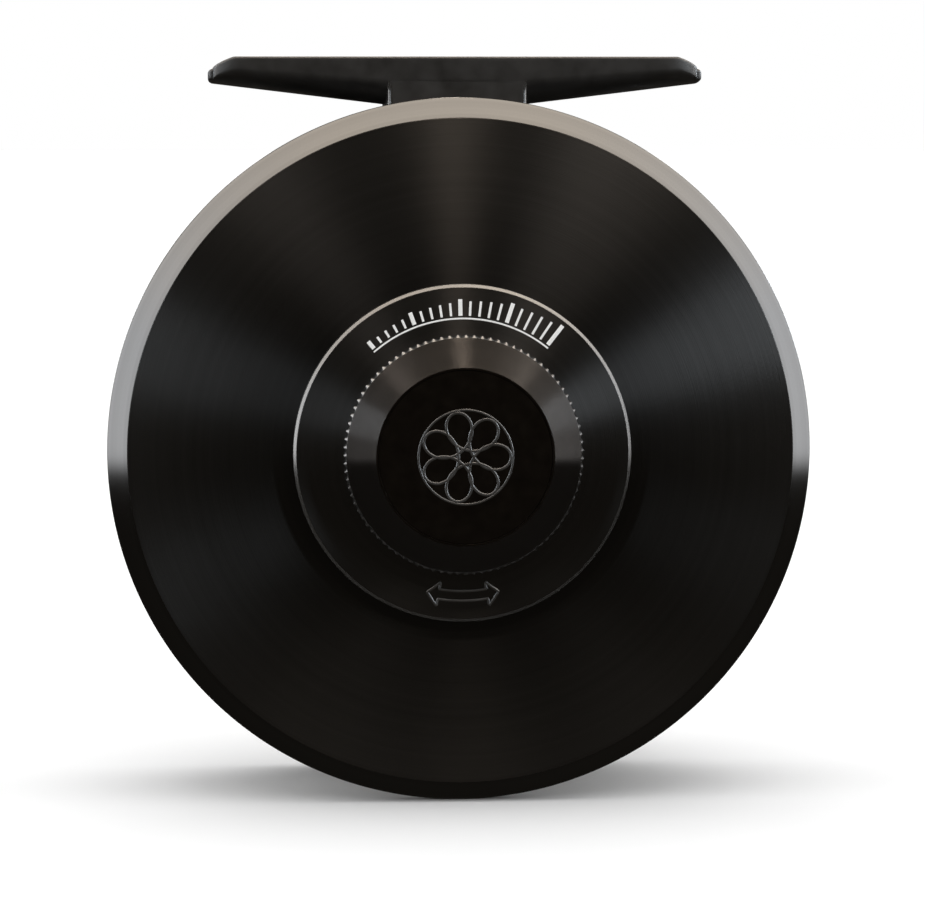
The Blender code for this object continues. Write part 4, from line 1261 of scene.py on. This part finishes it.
class REEL_OT_cap(ReelOperator):
    """Knurled cap screw in the middle of the spool"""

    bl_idname = "reel.cap"
    bl_label = "Build Cap"

    def execute(self, context):
        ridges, flute, cap_r, shank_r = 36, 0.34, 8.4, 1.3

        def grip(r, y, a):
            """Radius less a round flute per ridge, where the radius is near the full one."""
            mask = np.clip((r - 7.9) / 0.4, 0.0, 1.0)
            return r - flute * mask * (0.5 + 0.5 * np.cos(ridges * a))[None, :] ** 2

        cap = lathe("cap_fine", [
            (0.0, 15.5), (3.0, 15.5), (3.4, 15.9), (7.2, 15.9), (cap_r, 15.2), (cap_r, 12.8),
            (7.6, 12.3), (shank_r, 12.3), (shank_r, 5.0), (0.0, 5.0)],
            [0, 0.2, 0.15, 0.3, 0.25, 0.2, 0.2, 0.1, 0.1, 0], ridges * 8, AXIS, False, grip)
        dress(cap, "black", "cap", "black_anodised", "spool_cap")
        return {"FINISHED"}


# Plain turned rings that stand for the CAD's coarse ones: name, bore radius, corner radius,
# finish, body, slot.
RINGS = (
    ("thrust_ring", 6.2, 0.12, "ground", "thrust", "stainless"),
    ("friction_disc_rear", 5.2, 0.05, "carbon", "clutch", "carbon"),
    ("friction_disc_front", 7.1, 0.05, "carbon", "frame", "carbon"),
    ("roller_clutch", 3.8, 0.15, "ground", "clutch", "stainless"),
    ("pot_lid", 7.1, 0.15, "black", "frame", "black_anodised"),
    ("hub_seal", 6.9, 0.35, "rubber", "frame", "seal_rubber"),
    ("front_bearing_inner", 2.8, 0.2, "ground", "spool_bearing", "stainless"),
    ("rear_bearing_inner", 2.8, 0.2, "ground", "spool_bearing", "stainless"),
    ("bearing_spacer", 2.8, 0.1, "bronze", "spool_bearing", "bronze"),
    ("front_bearing_outer", 4.7, 0.2, "ground", "spool_body", "stainless"),
    ("rear_bearing_outer", 4.7, 0.2, "ground", "spool_body", "stainless"),
)

# CAD nodes whose own shape stays, and the finish each one gets.
CARRIED = {
    "spindle": "ground", "hub_clip": "ground", "knob_screw": "ground",
    "lid_snap_ring": "ground", "cover_screw_1": "ground", "cover_screw_2": "ground",
    "cover_screw_3": "ground",
    "pawl_pin": "ground", "pawl_spring": "ground", "click_pawl": "ground",
    "detent_spring": "ground", "detent_plunger": "ground", "detent_ring": "acetal",
    "drag_nut": "bronze", "spring_washer_outer": "ground", "spring_washer_inner": "ground",
    "pressure_plate": "ground", "clutch_housing": "milled", "drive_hub": "ground",
    "drive_ring": "bronze", "click_gear": "ground",
}


class REEL_OT_inside(ReelOperator):
    """Rings, discs and bearings of the drag and hub, and finishes for the rest"""

    bl_idname = "reel.inside"
    bl_label = "Build Inside"

    def execute(self, context):
        for node, bore, soft, finish, body, slot in RINGS:
            outer = (span(node, 0)[1] - span(node, 0)[0]) / 2.0
            y0, y1 = span(node, 1)
            corners = [(bore, y0), (outer, y0), (outer, y1), (bore, y1)]
            dress(lathe(node + "_fine", corners, soft, 128), finish, body, slot, node)
        for node, finish in CARRIED.items():
            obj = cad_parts[node]
            obj.data.materials.clear()
            obj.data.materials.append(finish_of(finish))
        return {"FINISHED"}


# Stage --------------------------------------------------------------------------
def make_floor_material():
    """Pale matt paper with a faint tooth."""
    mat, tree, shader = start_material("floor paper")
    cloud = group_node(tree, handling, Scale=40.0).outputs["Cloud"]
    wire(tree, blend_colours(tree, cloud, (0.90, 0.90, 0.90), (0.92, 0.92, 0.92)),
         shader.inputs["Base Color"])
    shader.inputs["Roughness"].default_value = 0.9
    shader.inputs["Specular IOR Level"].default_value = 0.1
    return mat


def area_light(name, place, target, size, power, colour):
    """A rectangular lamp that faces a target; sizes in millimetres, power in watts."""
    lamp = bpy.data.lights.new(name, "AREA")
    lamp.shape = "RECTANGLE"
    lamp.size, lamp.size_y = size[0] * MM, size[1] * MM
    lamp.energy = power
    lamp.color = colour
    obj = bpy.data.objects.new(name, lamp)
    obj.location = Vector(place) * MM
    aim = (Vector(target) - Vector(place)).to_track_quat("-Z", "Y")
    obj.rotation_euler = aim.to_euler()
    obj.visible_camera = False
    obj.visible_diffuse = False
    bpy.context.scene.collection.objects.link(obj)


# Lamps: name, place from the middle of the reel's face with y away from that face, width and
# height in millimetres, power, colour. Each stands on both sides of the reel.
LAMPS = (
    ("overhead", (34.0, 420.0, 700.0), (90.0, 60.0), 0.6, (1.0, 0.88, 0.76)),
    ("upper right", (420.0, 420.0, 560.0), (460.0, 120.0), 0.72, (1.0, 0.93, 0.86)),
    ("upper left", (-420.0, 420.0, 560.0), (380.0, 120.0), 0.42, (1.0, 0.93, 0.88)),
    ("cool right", (620.0, 380.0, 190.0), (60.0, 200.0), 1.05, (0.80, 0.90, 1.0)),
    ("cool left", (-620.0, 380.0, 175.0), (60.0, 220.0), 0.62, (0.80, 0.90, 1.0)),
)
# Side of the reel, its direction along Y, and how much stronger its lamps are.
SIDES = (("drag side", -1.0, 1.0), ("handle side", 1.0, 1.7))

# The arch lies along the directions whose Y is ARCH_BACK. It softens out over ARCH_SOFT to
# either side, and ends over the heights of ARCH_FOOT, just below the horizon. Its colours are
# the ones near the horizon and overhead. Soft light has SKY_LEVEL, and SKY_GAIN more overhead.
ARCH_BACK = 0.06
ARCH_SOFT = (0.1, 0.2)
ARCH_FOOT = (-0.15, -0.1)
ARCH_COLOURS = (0.98, 1.0, 1.03), (1.12, 1.0, 0.86)
ROOM_COLOUR = (1.12, 1.0, 0.84, 1.0)
SKY_LEVEL, SKY_GAIN = 0.45, 2.2


def studio_world(arch, surround):
    """White to the camera; to reflections a bright arch overhead in a dark room.

    The arch's brightness = arch * ease(|dy - ARCH_BACK|) * foot(dz), where dy is the part of
    the direction along the reel's axis and dz its rise. Soft light's strength =
    SKY_LEVEL + SKY_GAIN * max(dz, 0)^3.
    """
    world = bpy.data.worlds.new("studio")
    bpy.context.scene.world = world
    world.use_nodes = True
    tree = world.node_tree
    tree.nodes.clear()
    toward = parts_of(tree, "Generated")
    across = maths(tree, "ABSOLUTE", maths(tree, "SUBTRACT", toward["Y"], ARCH_BACK))
    ease = map_range(tree, across, *ARCH_SOFT, 1.0, 0.0)
    ease.interpolation_type = "SMOOTHSTEP"
    horizon = map_range(tree, toward["Z"], *ARCH_FOOT, 0.0, 1.0)
    strip = maths(tree, "MULTIPLY", ease.outputs[0], horizon.outputs[0])
    overhead = map_range(tree, toward["Z"], 0.3, 0.95, 0.0, 1.0)
    glossy = add_node(tree, "Background")
    wire(tree, blend_colours(tree, overhead.outputs[0], *ARCH_COLOURS), glossy.inputs["Color"])
    wire(tree, maths(tree, "MULTIPLY", strip, arch), glossy.inputs["Strength"])
    room = add_node(tree, "Background", Color=ROOM_COLOUR, Strength=surround)
    reflected = add_node(tree, "AddShader")
    wire(tree, glossy.outputs[0], reflected.inputs[0])
    wire(tree, room.outputs[0], reflected.inputs[1])

    # Straight to the camera the world's strength is 1, and to soft light it grows with height.
    path = add_node(tree, "LightPath")
    soft = add_node(tree, "Background", Color=(1.0, 1.0, 1.0, 1.0))
    above = maths(tree, "POWER", maths(tree, "MAXIMUM", toward["Z"], 0.0), 3.0)
    level = maths(tree, "ADD", maths(tree, "MULTIPLY", above, SKY_GAIN), SKY_LEVEL)
    other_ray = maths(tree, "SUBTRACT", 1.0, path.outputs["Is Camera Ray"])
    lit = maths(tree, "MULTIPLY", maths(tree, "SUBTRACT", level, 1.0), other_ray)
    wire(tree, maths(tree, "ADD", lit, 1.0), soft.inputs["Strength"])
    choose = add_node(tree, "MixShader")
    for i, source in enumerate((path.outputs["Is Glossy Ray"], soft.outputs[0],
                                reflected.outputs[0])):
        wire(tree, source, choose.inputs[i])
    wire(tree, choose.outputs[0], add_node(tree, "OutputWorld").inputs["Surface"])


class REEL_OT_stage(ReelOperator):
    """Pale floor, soft studio lights, white surround and the camera"""

    bl_idname = "reel.stage"
    bl_label = "Build Stage"

    def execute(self, context):
        stage = settings()[2]
        studio_world(stage.arch, stage.surround)
        target = Vector((0.0, PLATE_Y + CHAMFER, AXIS_Z))

        # Floor: a wide level sheet, z = the lowest point of the rim.
        reach, count = 6000.0, 25
        grid = np.linspace(-reach, reach, count)
        x, y = np.meshgrid(grid, grid, indexing="ij")
        z = np.full_like(x, AXIS_Z - RIM_R - 0.02)
        uv = face_uv(count, count, False, False, grid / reach, grid / reach).reshape(-1, 2)
        mesh = bpy.data.meshes.new("floor")
        mesh.from_pydata((np.stack([x, y, z], -1).reshape(-1, 3) * MM).tolist(), [],
                         grid_faces(count, count, False, False)[:, ::-1].tolist())
        mesh.uv_layers.new(name="surface").data.foreach_set(
            "uv", uv.astype(np.float32).ravel())
        floor = bpy.data.objects.new("floor", mesh)
        mesh.materials.append(make_floor_material())
        bpy.context.scene.collection.objects.link(floor)
        floor.visible_glossy = False

        for side, away, gain in SIDES:
            for name, (x, y, z), size, power, colour in LAMPS:
                area_light(name + " " + side, target + Vector((x, away * y, z)), target, size,
                           gain * power, colour)

        lens = bpy.data.cameras.new("camera")
        lens.lens = stage.lens
        lens.sensor_width = 36.0
        lens.clip_start, lens.clip_end = 0.01, 50.0
        camera = bpy.data.objects.new("camera", lens)
        level = stage.distance * math.cos(stage.elevation)
        eye = target + Vector((level * math.sin(stage.azimuth),
                               -level * math.cos(stage.azimuth),
                               stage.distance * math.sin(stage.elevation)))
        camera.location = eye * MM
        aim = target + Vector((0.25, 0.0, 0.1))
        camera.rotation_euler = (aim - eye).to_track_quat("-Z", "Y").to_euler()
        bpy.context.scene.collection.objects.link(camera)
        bpy.context.scene.camera = camera
        bpy.context.scene.view_settings.view_transform = "Standard"
        return {"FINISHED"}


# Panel and start ----------------------------------------------------------------
STEPS = (REEL_OT_cage, REEL_OT_foot, REEL_OT_cover, REEL_OT_knob, REEL_OT_spool,
         REEL_OT_handle, REEL_OT_cap, REEL_OT_inside, REEL_OT_stage)
GROUPS_OF_SETTINGS = (("reel_finish", ReelFinish), ("reel_detail", ReelDetail),
                      ("reel_stage", ReelStage))


class REEL_PT_builder(bpy.types.Panel):
    """Sidebar panel with the settings and the build steps in their order."""

    bl_idname = "REEL_PT_builder"
    bl_label = "Fly Reel"
    bl_space_type = "VIEW_3D"
    bl_region_type = "UI"
    bl_category = "Reel"

    def draw(self, context):
        """List every setting, then a button for each step."""
        layout = self.layout
        for owner, group in GROUPS_OF_SETTINGS:
            box = layout.box()
            box.label(text=group.__name__)
            for key in group.__annotations__:
                box.prop(getattr(context.scene, owner), key)
        for step in STEPS:
            layout.operator(step.bl_idname)


def register():
    """Add the settings, the build steps and the panel."""
    for owner, group in GROUPS_OF_SETTINGS:
        bpy.utils.register_class(group)
        setattr(bpy.types.Scene, owner, bpy.props.PointerProperty(type=group))
    for cls in STEPS + (REEL_PT_builder,):
        bpy.utils.register_class(cls)


def unregister():
    """Take them away again."""
    for cls in (REEL_PT_builder,) + STEPS[::-1]:
        bpy.utils.unregister_class(cls)
    for owner, group in GROUPS_OF_SETTINGS[::-1]:
        delattr(bpy.types.Scene, owner)
        bpy.utils.unregister_class(group)


def main():
    """Build the whole reel."""
    register()
    for step in (bpy.ops.reel.cage, bpy.ops.reel.foot, bpy.ops.reel.cover, bpy.ops.reel.knob,
                 bpy.ops.reel.spool, bpy.ops.reel.handle, bpy.ops.reel.cap,
                 bpy.ops.reel.inside, bpy.ops.reel.stage):
        step()


if __name__ == "__main__":
    main()
